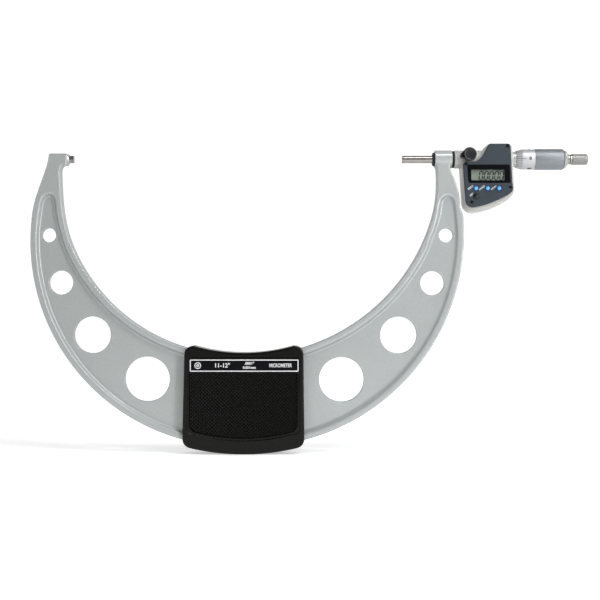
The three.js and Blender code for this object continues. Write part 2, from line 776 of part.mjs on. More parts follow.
const spindleTip = turned([
  [SHORTEST_MEASURE, 0],
  [SHORTEST_MEASURE, SPINDLE_RADIUS - 0.2],
  [SHORTEST_MEASURE + 0.2, SPINDLE_RADIUS],
  [SHORTEST_MEASURE + TIP_THICK, SPINDLE_RADIUS],
  [SHORTEST_MEASURE + TIP_THICK, 0],
]);
add("spindle_tip", spindleTip, ...CARBIDE);

function thimble() {
  const profile = [
    [THIMBLE.front, THIMBLE_BORE],
    [THIMBLE.front, THIMBLE_BORE + 0.25],
    [THIMBLE.bevel, 8.5],
    [THIMBLE.step, 8.5],
    [THIMBLE.step, 8.85],
    [THIMBLE.chamfer, 8.85],
    [THIMBLE.back, 7.5],
    [THIMBLE.back, 3.95],
    [411.6, 4.75],
    [411.6, THIMBLE_BORE],
    [THIMBLE.front, THIMBLE_BORE],
  ];
  return turned(profile, 40);
}

add("thimble", thimble(), ...SATIN);

const endRing = turned([
  [418.0, 2.0],
  [418.0, 7.4],
  [420.3, 5.0],
  [420.3, 2.0],
  [418.0, 2.0],
]);
add("thimble_end_ring", endRing, ...STEEL);

const ratchetBase = turned([
  [420.4, 1.85],
  [420.4, 4.15],
  [423.6, 4.15],
  [423.6, 3.65],
  [426.0, 3.65],
  [426.0, 1.85],
  [420.4, 1.85],
]);
add("ratchet_base", ratchetBase, ...STEEL);
add("ratchet_pawl", tube(426.3, 428.0, 1.85, 3.4, 24), ...STEEL);

// A short coil spring about the spindle axis.
function ratchetSpring() {
  const turns = 3;
  const left = 428.5;
  const right = 430.5;
  const mean = 2.5;
  const stepsPerTurn = 14;
  class Coil extends THREE.Curve {
    getPoint(t, target = new THREE.Vector3()) {
      const angle = 2 * Math.PI * turns * t;
      return target.set(left + (right - left) * t, mean * Math.cos(angle), mean * Math.sin(angle));
    }
  }
  const wire = new THREE.Shape();
  wire.absarc(0, 0, 0.25, 0, 2 * Math.PI, false);
  const options = {
    steps: turns * stepsPerTurn,
    extrudePath: new Coil(),
    curveSegments: 3,
    bevelEnabled: false,
  };
  return solid(new THREE.ExtrudeGeometry(wire, options));
}

add("ratchet_spring", ratchetSpring(), ...STEEL);

const ratchetScrew = turned(
  [
    [405.0, 0],
    [405.0, 1.5],
    [431.0, 1.5],
    [431.0, 3.0],
    [433.2, 3.0],
    [433.2, 0],
  ],
  24,
);
add("ratchet_screw", ratchetScrew, ...STEEL);

const ratchetCap = turned([
  [RATCHET_LEFT, 3.75],
  [RATCHET_LEFT, 4.56],
  [RATCHET_RIGHT - 1.2, 4.56],
  [RATCHET_RIGHT - 0.35, 4.2],
  [RATCHET_RIGHT, 3.4],
  [RATCHET_RIGHT, 0],
  [RATCHET_RIGHT - 1.8, 0],
  [RATCHET_RIGHT - 1.8, 3.75],
  [RATCHET_LEFT, 3.75],
]);
add("ratchet_cap", ratchetCap, ...[0xa3a29e, 0.4, 0.9]);

export default whole;
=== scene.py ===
import math

import bpy
import bmesh
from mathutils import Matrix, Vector
from mathutils.geometry import tessellate_polygon


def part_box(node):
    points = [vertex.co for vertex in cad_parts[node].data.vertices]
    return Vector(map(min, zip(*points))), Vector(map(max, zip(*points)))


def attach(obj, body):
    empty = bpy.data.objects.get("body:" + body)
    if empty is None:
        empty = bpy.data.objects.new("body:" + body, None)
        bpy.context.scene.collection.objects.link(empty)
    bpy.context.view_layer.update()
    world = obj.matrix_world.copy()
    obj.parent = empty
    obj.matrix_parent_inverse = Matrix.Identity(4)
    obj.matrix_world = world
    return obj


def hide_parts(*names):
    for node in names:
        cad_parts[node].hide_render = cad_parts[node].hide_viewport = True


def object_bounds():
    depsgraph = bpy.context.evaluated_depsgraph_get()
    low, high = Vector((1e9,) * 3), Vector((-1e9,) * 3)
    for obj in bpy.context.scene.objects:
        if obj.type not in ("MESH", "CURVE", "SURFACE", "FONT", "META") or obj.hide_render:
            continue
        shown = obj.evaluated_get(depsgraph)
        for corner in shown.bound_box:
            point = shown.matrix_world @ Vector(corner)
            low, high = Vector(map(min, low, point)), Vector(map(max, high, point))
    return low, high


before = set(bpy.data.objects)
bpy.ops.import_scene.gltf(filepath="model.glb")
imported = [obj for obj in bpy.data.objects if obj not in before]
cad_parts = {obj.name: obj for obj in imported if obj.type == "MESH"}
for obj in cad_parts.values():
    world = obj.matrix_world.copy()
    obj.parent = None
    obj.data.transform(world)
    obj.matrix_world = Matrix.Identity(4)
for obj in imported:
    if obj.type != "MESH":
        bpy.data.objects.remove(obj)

# Lengths in this file are in millimetres until a mesh is made, which is in metres.
MM = 0.001
FULL = 2 * math.pi
CAD_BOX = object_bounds()


def span(node, axis=0):
    """The lowest and highest coordinate of a CAD node along one axis."""
    low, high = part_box(node)
    return low[axis] / MM, high[axis] / MM


def centre(node):
    """The middle of a CAD node in X and Z."""
    return tuple(sum(span(node, axis)) / 2 for axis in (0, 2))


# ---- outlines in X and Z ----


class Outline:
    """A path of points in X and Z, drawn with lines, arcs and curves."""

    def __init__(self, x, z, step=1.0):
        self.points = [(x, z)]
        self.step = step

    def line(self, x, z):
        x0, z0 = self.points[-1]
        count = max(1, round(math.hypot(x - x0, z - z0) / self.step))
        for i in range(1, count + 1):
            t = i / count
            self.points.append((x0 + (x - x0) * t, z0 + (z - z0) * t))
        return self

    def arc(self, x, z, r, start, end):
        count = max(2, round(abs(end - start) * r / self.step))
        for i in range(count + 1):
            angle = start + (end - start) * i / count
            self.points.append((x + r * math.cos(angle), z + r * math.sin(angle)))
        return self

    def curve(self, *control):
        """A Bezier curve: the control points, then the end point."""
        nodes = [self.points[-1], *control]
        length = sum(math.dist(a, b) for a, b in zip(nodes, nodes[1:]))
        count = max(4, round(length / self.step))
        for i in range(1, count + 1):
            level = nodes
            t = i / count
            while len(level) > 1:
                level = [
                    (a[0] + (b[0] - a[0]) * t, a[1] + (b[1] - a[1]) * t)
                    for a, b in zip(level, level[1:])
                ]
            self.points.append(level[0])
        return self

    def closed(self):
        """The points as a counter-clockwise outline with no repeats."""
        kept = []
        for p in self.points:
            if not kept or math.dist(p, kept[-1]) > 0.1:
                kept.append(p)
        if math.dist(kept[0], kept[-1]) < 0.1:
            kept.pop()
        area = sum(a[0] * b[1] - b[0] * a[1] for a, b in zip(kept, kept[1:] + kept[:1]))
        return kept if area > 0 else kept[::-1]


def circle(x, z, r, count=48):
    angles = [FULL * i / count for i in range(count)]
    return [(x + r * math.cos(a), z + r * math.sin(a)) for a in angles]


def rounded_rectangle(left, right, bottom, top, corner, step=0.5):
    path = Outline(left + corner, bottom, step)
    low, high = bottom + corner, top - corner
    first, last = left + corner, right - corner
    for i, (x, z) in enumerate([(last, low), (last, high), (first, high), (first, low)]):
        start = (i - 1) * math.pi / 2
        path.line(x + corner * math.cos(start), z + corner * math.sin(start))
        path.arc(x, z, corner, start, start + math.pi / 2)
    return path.closed()


def soften(points, radius, closed=True, steps=4):
    """The path with its corners rounded by about that radius."""
    made = []
    count = len(points)
    for i, p in enumerate(points):
        if not closed and i in (0, count - 1):
            made.append(p)
            continue
        a, b = points[i - 1], points[(i + 1) % count]
        la, lb = math.dist(a, p), math.dist(b, p)
        if la < 1e-6 or lb < 1e-6:
            continue
        ua = ((a[0] - p[0]) / la, (a[1] - p[1]) / la)
        ub = ((b[0] - p[0]) / lb, (b[1] - p[1]) / lb)
        turn = math.pi - math.acos(max(-1, min(1, ua[0] * ub[0] + ua[1] * ub[1])))
        if turn < 0.25:
            made.append(p)
            continue
        reach = min(radius * math.tan(turn / 2), 0.45 * la, 0.45 * lb)
        start = (p[0] + ua[0] * reach, p[1] + ua[1] * reach)
        end = (p[0] + ub[0] * reach, p[1] + ub[1] * reach)
        for k in range(steps + 1):
            t = k / steps
            w = ((1 - t) ** 2, 2 * t * (1 - t), t * t)
            made.append(tuple(w[0] * start[n] + w[1] * p[n] + w[2] * end[n] for n in (0, 1)))
    return made


def inset(points, by):
    """The counter-clockwise outline moved inwards. by is a distance, or one for each point."""
    count = len(points)
    made = []
    for i, (x, z) in enumerate(points):
        ax, az = points[i - 1]
        bx, bz = points[(i + 1) % count]
        u = Vector((x - ax, z - az)).normalized()
        v = Vector((bx - x, bz - z)).normalized()
        n = Vector((-u.y - v.y, u.x + v.x))
        if n.length < 1e-6:
            n = Vector((-u.y, u.x))
        n.normalize()
        reach = (by[i] if isinstance(by, list) else by) / max(0.5, n.dot(Vector((-u.y, u.x))))
        made.append((x + n.x * reach, z + n.y * reach))
    return made


# ---- meshes ----


class Solid:
    """A closed mesh made of rings that lie across Y, the strips between them, and flat fills."""

    def __init__(self):
        self.verts = []
        self.faces = []

    def ring(self, points, y):
        start = len(self.verts)
        heights = y if isinstance(y, list) else [y] * len(points)
        self.verts += [(x, h, z) for (x, z), h in zip(points, heights)]
        return list(range(start, len(self.verts)))

    def strip(self, a, b):
        count = len(a)
        for i in range(count):
            j = (i + 1) % count
            self.faces.append((a[i], a[j], b[j], b[i]))

    def strips(self, rings):
        for a, b in zip(rings, rings[1:]):
            self.strip(a, b)

    def fill(self, outer, *holes):
        loops = [outer, *holes]
        flat = [i for loop in loops for i in loop]
        paths = [[Vector((self.verts[i][0], self.verts[i][2], 0)) for i in loop] for loop in loops]
        self.faces += [tuple(flat[k] for k in tri) for tri in tessellate_polygon(paths)]

    def layers(self, outline, *levels):
        """Strips through rings of one outline. Each level is how far its ring is inset, and its y."""
        rings = [self.ring(inset(outline, by), y) for by, y in levels]
        self.strips(rings)
        return rings[0], rings[-1]

    def edge(self, points, y_wall, y_face, radius, steps=5, flat=0.25):
        """Rings from the wall at y_wall round an edge onto the face at y_face. The radius is one for
        all points or one for each. A negative one rounds the rim of a hole, whose outline is the hole's."""
        way = 1 if y_face > y_wall else -1
        radii = radius if isinstance(radius, list) else [radius] * len(points)
        rings = []
        for k in range(steps + 1):
            angle = math.pi / 2 * k / steps
            by = [r * (1 - math.cos(angle)) for r in radii]
            heights = [y_face - way * abs(r) * (1 - math.sin(angle)) for r in radii]
            rings.append(self.ring(inset(points, by), heights))
        rings.append(self.ring(inset(points, [r + math.copysign(flat, r) for r in radii]), y_face))
        self.strips(rings)
        return rings[0], rings[-1]

    def through_wall(self, outline, half, radius, steps=5, flat=0.25):
        """A wall across the middle plane with both edges rounded. Returns its ring on either face."""
        back, front = [self.edge(outline, 0, y, radius, steps, flat) for y in (half, -half)]
        self.strip(back[0], front[0])
        return {1: back[1], -1: front[1]}

    def opening(self, hole, back, front, radius, steps, flat=0.08):
        """A hole right through a plate. Returns the rings of its mouth and of its back end."""
        wall, mouth = self.edge(hole, back, front, -radius, steps, flat)
        rear = self.ring(hole, back)
        self.strip(wall, rear)
        return mouth, rear

    def sink(self, hole, floor, face, radius, steps, flat, rim):
        """A hole with a flat floor. Returns the ring of its mouth."""
        wall, mouth = self.edge(hole, floor, face, -radius, steps, flat)
        bottom = self.ring(inset(hole, rim), floor)
        self.strips([wall, self.ring(hole, floor), bottom])
        self.fill(bottom)
        return mouth

    def plate(self, outline, back, front, radius, steps=2, flat=0.05, mouths=(), rears=()):
        """A plate with its front edge rounded, about the mouths and back ends of its holes."""
        wall, face = self.edge(outline, back, front, radius, steps, flat)
        rear = self.ring(outline, back)
        self.strip(wall, rear)
        self.fill(face, *mouths)
        self.fill(rear, *rears)

    def prism(self, outline, low, high):
        ends = [self.ring(outline, low), self.ring(outline, high)]
        self.strips(ends)
        self.fill(ends[0])
        self.fill(ends[1])

    def band(self, outer, inner, low, high):
        """A flat closed band between two outlines."""
        rings = [self.ring(*r) for r in ((outer, low), (inner, low), (inner, high), (outer, high))]
        self.strips([*rings, rings[0]])

    def add(self, verts, faces):
        start = len(self.verts)
        self.verts += verts
        self.faces += [tuple(start + i for i in face) for face in faces]

    def mesh(self, name):
        made = bpy.data.meshes.new(name)
        made.from_pydata([Vector(v) * MM for v in self.verts], [], self.faces)
        return made

    def piece(self, name, look, body="body", angle=40, slot=None):
        made = finished(self.mesh(name), name, look, body, angle)
        return made


def cleaned(mesh, angle, merge=1e-6, slivers=False):
    """A mesh with its doubled points merged, its normals outwards, and edges past angle sharp."""
    tidy = bmesh.new()
    tidy.from_mesh(mesh)
    bmesh.ops.remove_doubles(tidy, verts=tidy.verts, dist=merge)
    if slivers:
        bmesh.ops.dissolve_degenerate(tidy, edges=tidy.edges, dist=1e-6)
    bmesh.ops.recalc_face_normals(tidy, faces=tidy.faces)
    tidy.to_mesh(mesh)
    tidy.free()
    mesh.shade_smooth()
    mesh.set_sharp_from_angle(angle=math.radians(angle))


def finished(mesh, name, look, body, angle=40):
    """An object from a mesh, which rides on a body unless it is only a tool for a join or a cut."""
    cleaned(mesh, angle)
    made = bpy.data.objects.new(name, mesh)
    bpy.context.scene.collection.objects.link(made)
    if look:
        mesh.materials.append(look)
    if body:
        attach(made, body)
    return made


def lathe_data(profile, segments):
    """Vertices and faces of a profile of [x, radius] turned about the spindle axis."""
    verts, faces, rings = [], [], []
    for x, r in profile:
        start = len(verts)
        count = 1 if r < 1e-6 else segments
        for i in range(count):
            a = FULL * i / segments
            verts.append((x, r * math.cos(a), r * math.sin(a)))
        rings.append([start + i % count for i in range(segments)])
    for a, b in zip(rings, rings[1:]):
        for i in range(segments):
            j = (i + 1) % segments
            corners = dict.fromkeys((a[i], a[j], b[j], b[i]))
            if len(corners) > 2:
                faces.append(tuple(corners))
    return verts, faces


def turned(name, profile, look, body="body", segments=96, edge=0.15, ring=False, steps=3):
    """A piece turned about the spindle axis. ring closes the profile on itself."""
    path = soften(profile, edge, ring, steps) if edge else profile
    solid = Solid()
    solid.add(*lathe_data(path + path[:1] if ring else path, segments))
    return solid.piece(name, look, body, angle=32)


def across(x, z, profile, segments=40, edge=0.0, steps=3):
    """Vertices and faces of a profile of [y, radius] turned about a line along Y."""
    path = soften(profile, edge, closed=False, steps=steps) if edge else profile
    verts, faces = lathe_data(path, segments)
    return [(x + b, a, z + c) for a, b, c in verts], faces


def stands_for(piece, material_slot, *nodes):
    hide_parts(*nodes)
    return piece


def box_cutter(low, high):
    bm = bmesh.new()
    bmesh.ops.create_cube(bm, size=1)
    for v in bm.verts:
        v.co = Vector([low[i] if v.co[i] < 0 else high[i] for i in range(3)]) * MM
    mesh = bpy.data.meshes.new("cutter")
    bm.to_mesh(mesh)
    bm.free()
    return finished(mesh, "cutter", None, None)


def combine(base, other, operation):
    """base joined with or cut by other, which is used up."""
    step = base.modifiers.new("combine", "BOOLEAN")
    step.operation = operation
    step.solver = "EXACT"
    step.object = other
    bpy.context.view_layer.update()
    graph = bpy.context.evaluated_depsgraph_get()
    result = bpy.data.meshes.new_from_object(base.evaluated_get(graph))
    base.modifiers.clear()
    base.data = result
    bpy.data.objects.remove(other)
    return base


def join_in(piece, solid, look):
    """Adds the separate closed shapes of a Solid to a piece, in a look of their own."""
    extra = solid.mesh("extra")
    piece.data.materials.append(look)
    both = bmesh.new()
    both.from_mesh(piece.data)
    first = len(both.faces)
    both.from_mesh(extra)
    both.faces.ensure_lookup_table()
    for face in both.faces[first:]:
        face.material_index = len(piece.data.materials) - 1
    both.to_mesh(piece.data)
    both.free()
    bpy.data.meshes.remove(extra)


def settle(piece, angle=35):
    """Cleans a piece again, after a join or a cut."""
    cleaned(piece.data, angle, 2e-6, slivers=True)
    return piece


def lettering(
    name, look, slot, lines, body="body", depth=0.03, weight=0.0, align="CENTER", narrow=1.0
):
    """Printed characters as one thin mesh. Each line is a text, its size in mm, and a function that
    turns flat (u, v, height) in mm into a point in mm. weight thickens the strokes."""
    solid = Solid()
    for text, size, place in lines:
        curve = bpy.data.curves.new(name, "FONT")
        curve.body = text
        curve.size = size
        curve.extrude = depth / 2
        curve.offset = weight
        curve.resolution_u = 3
        curve.align_x = align
        curve.align_y = "CENTER"
        holder = bpy.data.objects.new(name, curve)
        bpy.context.scene.collection.objects.link(holder)
        bpy.context.view_layer.update()
        mesh = bpy.data.meshes.new_from_object(holder)
        bpy.data.objects.remove(holder)
        verts = [place(narrow * v.co.x, v.co.y, v.co.z + depth / 2) for v in mesh.vertices]
        solid.add(verts, [tuple(face.vertices) for face in mesh.polygons])
    return solid.piece(name, look, body, 30, slot)


# ---- materials ----


class Nodes:
    """A node tree, with short ways to add nodes to it."""

    def __init__(self, tree):
        self.tree = tree

    def node(self, kind, inputs=None, **settings):
        """A new node. Its inputs are given as values, or as the outputs to link them to."""
        made = self.tree.nodes.new("ShaderNode" + kind)
        for key, value in settings.items():
            setattr(made, key, value)
        for key, value in (inputs or {}).items():
            if isinstance(value, bpy.types.NodeSocket):
                self.tree.links.new(value, made.inputs[key])
            else:
                made.inputs[key].default_value = value
        return made

    def ranged(self, source, low, high, from_low=0.3, from_high=0.7):
        """source, with from_low to from_high stretched to low to high, and held to them."""
        limits = {"From Min": from_low, "From Max": from_high, "To Min": low, "To Max": high}
        return self.node("MapRange", {"Value": source, **limits}).outputs["Result"]

    def maths(self, operation, a, b):
        return self.node("Math", {0: a, 1: b}, operation=operation).outputs[0]


class Look(Nodes):
    """A procedural material. Noise in the object's own space varies its colour, roughness and bump."""

    def __init__(self, name, colour, roughness, metallic=0.0, **more):
        self.material = bpy.data.materials.new(name)
        self.material.use_nodes = True
        super().__init__(self.material.node_tree)
        self.shader = self.tree.nodes["Principled BSDF"]
        self.shader.inputs["Metallic"].default_value = metallic
        for key, value in more.items():
            self.shader.inputs[key.replace("_", " ")].default_value = value
        self.place = self.node("TexCoord").outputs["Object"]
        self.colour = self.constant("RGB", (*colour, 1))
        self.roughness = self.constant("Value", roughness)
        self.normal = None

    def constant(self, kind, value):
        output = self.node(kind).outputs[0]
        output.default_value = value
        return output

    def pattern(self, kind, size_mm, stretch, inputs, **settings):
        """A texture with features of about that size. stretch makes them longer along an axis."""
        scale = [1 / (size_mm * MM * s) for s in stretch]
        place = self.node("Mapping", {"Vector": self.place, "Scale": scale}).outputs[0]
        return self.node(kind, {"Vector": place, "Scale": 1, **inputs}, **settings)

    def noise(self, size_mm, detail=2.0, stretch=(1, 1, 1)):
        return self.pattern("TexNoise", size_mm, stretch, {"Detail": detail}).outputs["Fac"]

    def cells(self, size_mm):
        made = self.pattern("TexVoronoi", size_mm, (1, 1, 1), {}, feature="SMOOTH_F1")
        return made.outputs["Distance"]

    def tint(self, source, colour, amount):
        """Mixes in another colour where source is high."""
        inputs = {"Factor": self.ranged(source, 0, amount), "A": self.colour, "B": (*colour, 1)}
        self.colour = self.node("Mix", inputs, data_type="RGBA").outputs["Result"]

    def vary_roughness(self, source, low, high):
        self.roughness = self.ranged(source, low, high)

    def bump(self, source, depth_mm, strength):
        inputs = {"Distance": depth_mm * MM, "Strength": strength, "Height": source}
        if self.normal:
            inputs["Normal"] = self.normal
        self.normal = self.node("Bump", inputs).outputs["Normal"]

    def done(self):
        outputs = {"Base Color": self.colour, "Roughness": self.roughness, "Normal": self.normal}
        for name, output in outputs.items():
            if output:
                self.tree.links.new(output, self.shader.inputs[name])
        return self.material


def enamel_look():
    """Grey enamel over a casting, with the fine hammered skin that such paint has."""
    gloss = {"Specular_IOR_Level": 0.0, "Specular_Tint": (0.25, 0.25, 0.25, 1)}
    coat = {"Coat_Weight": 0.2, "Coat_Roughness": 0.05}
    made = Look("enamel", (0.41, 0.438, 0.432), 0.18, 0.25, **gloss, **coat)
    made.tint(made.noise(26, 3), (0.385, 0.412, 0.408), 0.6)
    made.tint(made.noise(1.3, 3), (0.49, 0.515, 0.51), 0.45)
    fine = made.noise(0.5, 3)
    made.tint(fine, (0.375, 0.395, 0.395), 0.25)
    made.vary_roughness(made.noise(2.4, 3), 0.14, 0.24)
    made.bump(made.cells(1.4), 0.02, 0.4)
    made.bump(fine, 0.004, 0.3)
    return made.done()


def moulded_look(name, colour, roughness, grain=0.25, depth=0.012, **more):
    """Injection-moulded plastic with a fine eroded grain."""
    made = Look(name, colour, roughness, **more)
    lighter = tuple(min(1, c * 1.2 + 0.0008) for c in colour)
    darker = tuple(c * 0.86 for c in colour)
    made.tint(made.noise(9, 3), darker, 0.6)
    fine = made.noise(grain, 3)
    made.tint(fine, lighter, 0.35)
    made.vary_roughness(made.noise(1.6, 2), roughness - 0.05, roughness + 0.07)
    made.bump(fine, depth, 0.6)
    return made.done()


def turned_look(name, colour, roughness, line_mm=0.09, depth=0.004, stain=None, along=0):
    """Metal turned or ground about the X axis, with fine lines round it."""
    made = Look(name, colour, roughness, metallic=1.0)
    stretch = [30, 30, 30]
    stretch[along] = 1
    lines = made.noise(line_mm, 3, stretch)
    darker = tuple(c * 0.8 for c in colour)
    made.tint(lines, darker, 0.45)
    made.tint(made.noise(6, 3), stain or darker, 0.35)
    made.vary_roughness(lines, roughness - 0.05, roughness + 0.08)
    made.bump(lines, depth, 0.6)
    return made.done()


def blasted_look(name, colour, roughness):
    """Satin chrome plate over a bead-blasted surface."""
    made = Look(name, colour, roughness, metallic=0.55)
    fine = made.noise(0.12, 3)
    made.tint(fine, tuple(c * 0.84 for c in colour), 0.5)
    made.tint(made.noise(7, 3), tuple(c * 0.93 for c in colour), 0.5)
    made.vary_roughness(made.noise(0.3, 2), roughness - 0.05, roughness + 0.07)
    made.bump(fine, 0.01, 0.5)
    return made.done()


def printed_look(name, colour, roughness=0.5, gloss=0.3):
    made = Look(name, colour, roughness, Specular_IOR_Level=gloss)
    made.tint(made.noise(0.2, 3), tuple(c * 0.85 for c in colour), 0.6)
    made.vary_roughness(made.noise(0.5), roughness - 0.06, roughness + 0.08)
    return made.done()


def glass_look():
    made = Look("window_glass", (0.96, 0.98, 0.98), 0.03, Transmission_Weight=1.0, IOR=1.45)
    made.tint(made.noise(3), (0.93, 0.96, 0.96), 0.5)
    made.vary_roughness(made.noise(1.2), 0.02, 0.05)
    return made.done()


ENAMEL = enamel_look()
HOUSING = moulded_look("housing_plastic", (0.43, 0.43, 0.411), 0.36)
COVER = moulded_look("cover_plastic", (0.027, 0.036, 0.046), 0.42, Specular_IOR_Level=0.3)
LEVER_PLASTIC = moulded_look("lever_plastic", (0.01, 0.0125, 0.015), 0.26)
GRIP = moulded_look("grip_plastic", (0.0012, 0.001, 0.0006), 0.22, 0.4, 0.002, Specular_IOR_Level=0.22)
BLACK_GLOSS = moulded_look("black_gloss", (0.002, 0.002, 0.003), 0.2, 0.6, 0.002, Specular_IOR_Level=0.15)
BLACK_BUTTON = moulded_look("black_button", (0.003, 0.003, 0.004), 0.2, grain=0.6, depth=0.002)
BLUE_RING = moulded_look("blue_ring", (0.004, 0.03, 0.13), 0.35, grain=0.4, depth=0.004)
BLUE_CAP = moulded_look("blue_cap", (0.12, 0.42, 0.92), 0.25, grain=0.5, depth=0.003)
RUBBER = moulded_look("seal_rubber", (0.006, 0.006, 0.007), 0.62, grain=0.3, depth=0.02)
BOARD = moulded_look("circuit_laminate", (0.01, 0.1, 0.035), 0.4, grain=0.4)
GROUND_STEEL = turned_look("ground_steel", (0.37, 0.345, 0.33), 0.17, stain=(0.29, 0.26, 0.235))
MACHINED = turned_look("machined_steel", (0.6, 0.61, 0.62), 0.27, line_mm=0.15, depth=0.006)
CARBIDE = turned_look("carbide", (0.3, 0.29, 0.31), 0.22, line_mm=0.12)
SCREW_STEEL = turned_look("screw_steel", (0.5, 0.5, 0.51), 0.3, along=1)
SCREW_BLACK = turned_look("screw_black", (0.022, 0.022, 0.024), 0.36, along=1)
CELL_STEEL = turned_look("cell_steel", (0.6, 0.61, 0.62), 0.24, along=1)
BRASS = turned_look("brass", (0.62, 0.43, 0.16), 0.28)
SATIN = blasted_look("satin_chrome", (0.215, 0.234, 0.25), 0.46)
PALE_SATIN = blasted_look("pale_satin_chrome", (0.46, 0.47, 0.475), 0.44)
WARM_SATIN = blasted_look("warm_satin_chrome", (0.25, 0.247, 0.239), 0.46)
RING_SATIN = blasted_look("ring_satin_chrome", (0.5, 0.495, 0.48), 0.44)
RATCHET_STEEL = turned_look("ratchet_steel", (0.38, 0.38, 0.38), 0.25)
GRIP_TEXTURE = moulded_look("grip_texture", (0.0012, 0.0011, 0.0007), 0.36, Specular_IOR_Level=0.1)
LCD = printed_look("lcd_back", (0.175, 0.205, 0.165), 0.3)
LCD_INK = printed_look("lcd_segments", (0.008, 0.01, 0.012), 0.3)
LABEL_BLACK = printed_look("label_black", (0.003, 0.003, 0.005), 0.25, gloss=0.1)
LABEL_WHITE = printed_look("label_white", (0.72, 0.72, 0.74), 0.45)
LEGEND = printed_look("legend_grey", (0.5, 0.53, 0.55), 0.5)
# Black for the engraved marks and figures. It is also painted into grooves and gaps on the thimble and
# ratchet as painted shade.
INK_AND_PAINTED_SHADE = printed_look("engraved_black_and_painted_shade", (0.02, 0.02, 0.022), 0.5)
WINDOW_GLASS = glass_look()


# ---- frame casting ----

LEFT_OUTER = (137.87, -70.04, 173.88)  # the rims' arcs: centre x, centre z, radius
RIGHT_OUTER = (150.39, -62.99, 181.27)
LEFT_INNER = (138.64, -14.6, 151.62)
RIGHT_INNER = (147.7, -2.92, 164.0)
RIM_JOIN_X = 144.0
FRAME_HALF = 6.75
WEB_HALF = 3.0
OUTER_RIM = 7.6
INNER_RIM = 7.4
POCKET_LEFT_END, POCKET_RIGHT_END = 98.5, 190.5  # the pockets run on under the grip


def shrunk(arc, by):
    return (arc[0], arc[1], arc[2] - by)


def angle_at_z(arc, z, side):
    rise = z - arc[1]
    return math.atan2(rise, side * math.sqrt(arc[2] ** 2 - rise**2))


def angle_at_x(arc, x):
    run = x - arc[0]
    return math.atan2(-math.sqrt(arc[2] ** 2 - run**2), run)


def frame_outline():
    """The U's outline, from the anvil boss round the outside to the head boss and back inside."""
    path = Outline(-5.2, 4.5)
    path.line(-19.0, 4.5).curve((-20.4, 4.5), (-20.55, 3.0)).curve((-20.9, -2.9), (-24.2, -12.0))
    path.line(-30.2, -28.6).curve((-33.8, -38.6), (-35.2, -52.0))
    start = angle_at_z(LEFT_OUTER, -52.0, -1) + (FULL if angle_at_z(LEFT_OUTER, -52.0, -1) < 0 else 0)
    path.arc(*LEFT_OUTER, start, angle_at_x(LEFT_OUTER, RIM_JOIN_X - 1) + FULL)
    start = angle_at_x(RIGHT_OUTER, RIM_JOIN_X + 1)
    path.arc(*RIGHT_OUTER, start, angle_at_z(RIGHT_OUTER, -49.0, 1))
    path.curve((329.9, -44.5), (328.1, -41.0)).line(327.8, -35.1)
    path.curve((327.35, -23.9), (319.8, -8.8)).line(319.8, 2.0).line(309.0, 2.0)
    path.line(308.0, -5.1).curve((309.06, -13.3), (308.65, -25.3))
    path.curve((307.9, -47.2), (296.4, -72.0))
    start = angle_at_z(RIGHT_INNER, -72.0, 1)
    path.arc(*RIGHT_INNER, start, angle_at_x(RIGHT_INNER, RIM_JOIN_X + 2))
    start = angle_at_x(LEFT_INNER, RIM_JOIN_X - 4)
    path.arc(*LEFT_INNER, start, angle_at_z(LEFT_INNER, -75.0, -1))
    path.curve((-8.9, -55.5), (-10.26, -27.4)).line(-10.96, -12.9)
    path.curve((-11.25, -6.6), (-8.6, -5.1)).line(-5.2, -4.7).line(-5.2, 4.5)
    return path.closed()


def left_pocket():
    outer, inner = shrunk(LEFT_OUTER, OUTER_RIM), shrunk(LEFT_INNER, -INNER_RIM)
    path = Outline(-19.8, -32.0)
    path.curve((-24.5, -32.6), (-25.6, -40.0))
    start = angle_at_z(outer, -56.0, -1)
    path.arc(*outer, start + (FULL if start < 0 else 0), angle_at_x(outer, POCKET_LEFT_END - 2) + FULL)
    low = path.points[-1][1]
    path.curve((POCKET_LEFT_END, low), (POCKET_LEFT_END, low + 3))
    top = inner[1] + inner[2] * math.sin(angle_at_x(inner, POCKET_LEFT_END - 2))
    path.line(POCKET_LEFT_END, top - 2).curve((POCKET_LEFT_END, top), (POCKET_LEFT_END - 2, top))
    path.arc(*inner, angle_at_x(inner, POCKET_LEFT_END - 2), angle_at_z(inner, -76.0, -1))
    path.curve((-15.2, -56.0), (-16.6, -38.0)).curve((-17.0, -32.4), (-19.8, -32.0))
    return path.closed()


def right_pocket():
    outer, inner = shrunk(RIGHT_OUTER, OUTER_RIM), shrunk(RIGHT_INNER, -INNER_RIM)
    path = Outline(317.6, -33.2)
    path.curve((313.8, -33.6), (313.0, -40.0)).curve((311.4, -54.0), (304.2, -70.4))
    path.arc(*inner, angle_at_z(inner, -76.0, 1), angle_at_x(inner, POCKET_RIGHT_END + 2))
    top = path.points[-1][1]
    path.curve((POCKET_RIGHT_END, top), (POCKET_RIGHT_END, top - 2))
    low = outer[1] + outer[2] * math.sin(angle_at_x(outer, POCKET_RIGHT_END + 2))
    path.line(POCKET_RIGHT_END, low + 3).curve((POCKET_RIGHT_END, low), (POCKET_RIGHT_END + 2, low))
    path.arc(*outer, angle_at_x(outer, POCKET_RIGHT_END + 2), angle_at_z(outer, -58.0, 1))
    path.line(322.0, -38.5).curve((321.0, -33.4), (317.6, -33.2))
    return path.closed()


def pocket_wall(steps=8):
    """Inset and height of the pocket's wall, which rolls off the rim and into the web."""
    radius, lean = 2.3, math.radians(62)
    angles = [lean * k / steps for k in range(steps + 1)]
    roll = [(radius * math.sin(a), radius * (1 - math.cos(a))) for a in angles]
    run, fall = roll[-1]
    slope = (FRAME_HALF - WEB_HALF - 2 * fall) / math.tan(lean)
    end = 0.8
    start = end - 2 * run - slope
    top = [(start + along, FRAME_HALF - drop) for along, drop in roll]
    foot = [(end - along, WEB_HALF + drop) for along, drop in reversed(roll)]
    return [(start - 0.3, FRAME_HALF), *top, *foot, (end + 0.05, WEB_HALF)]


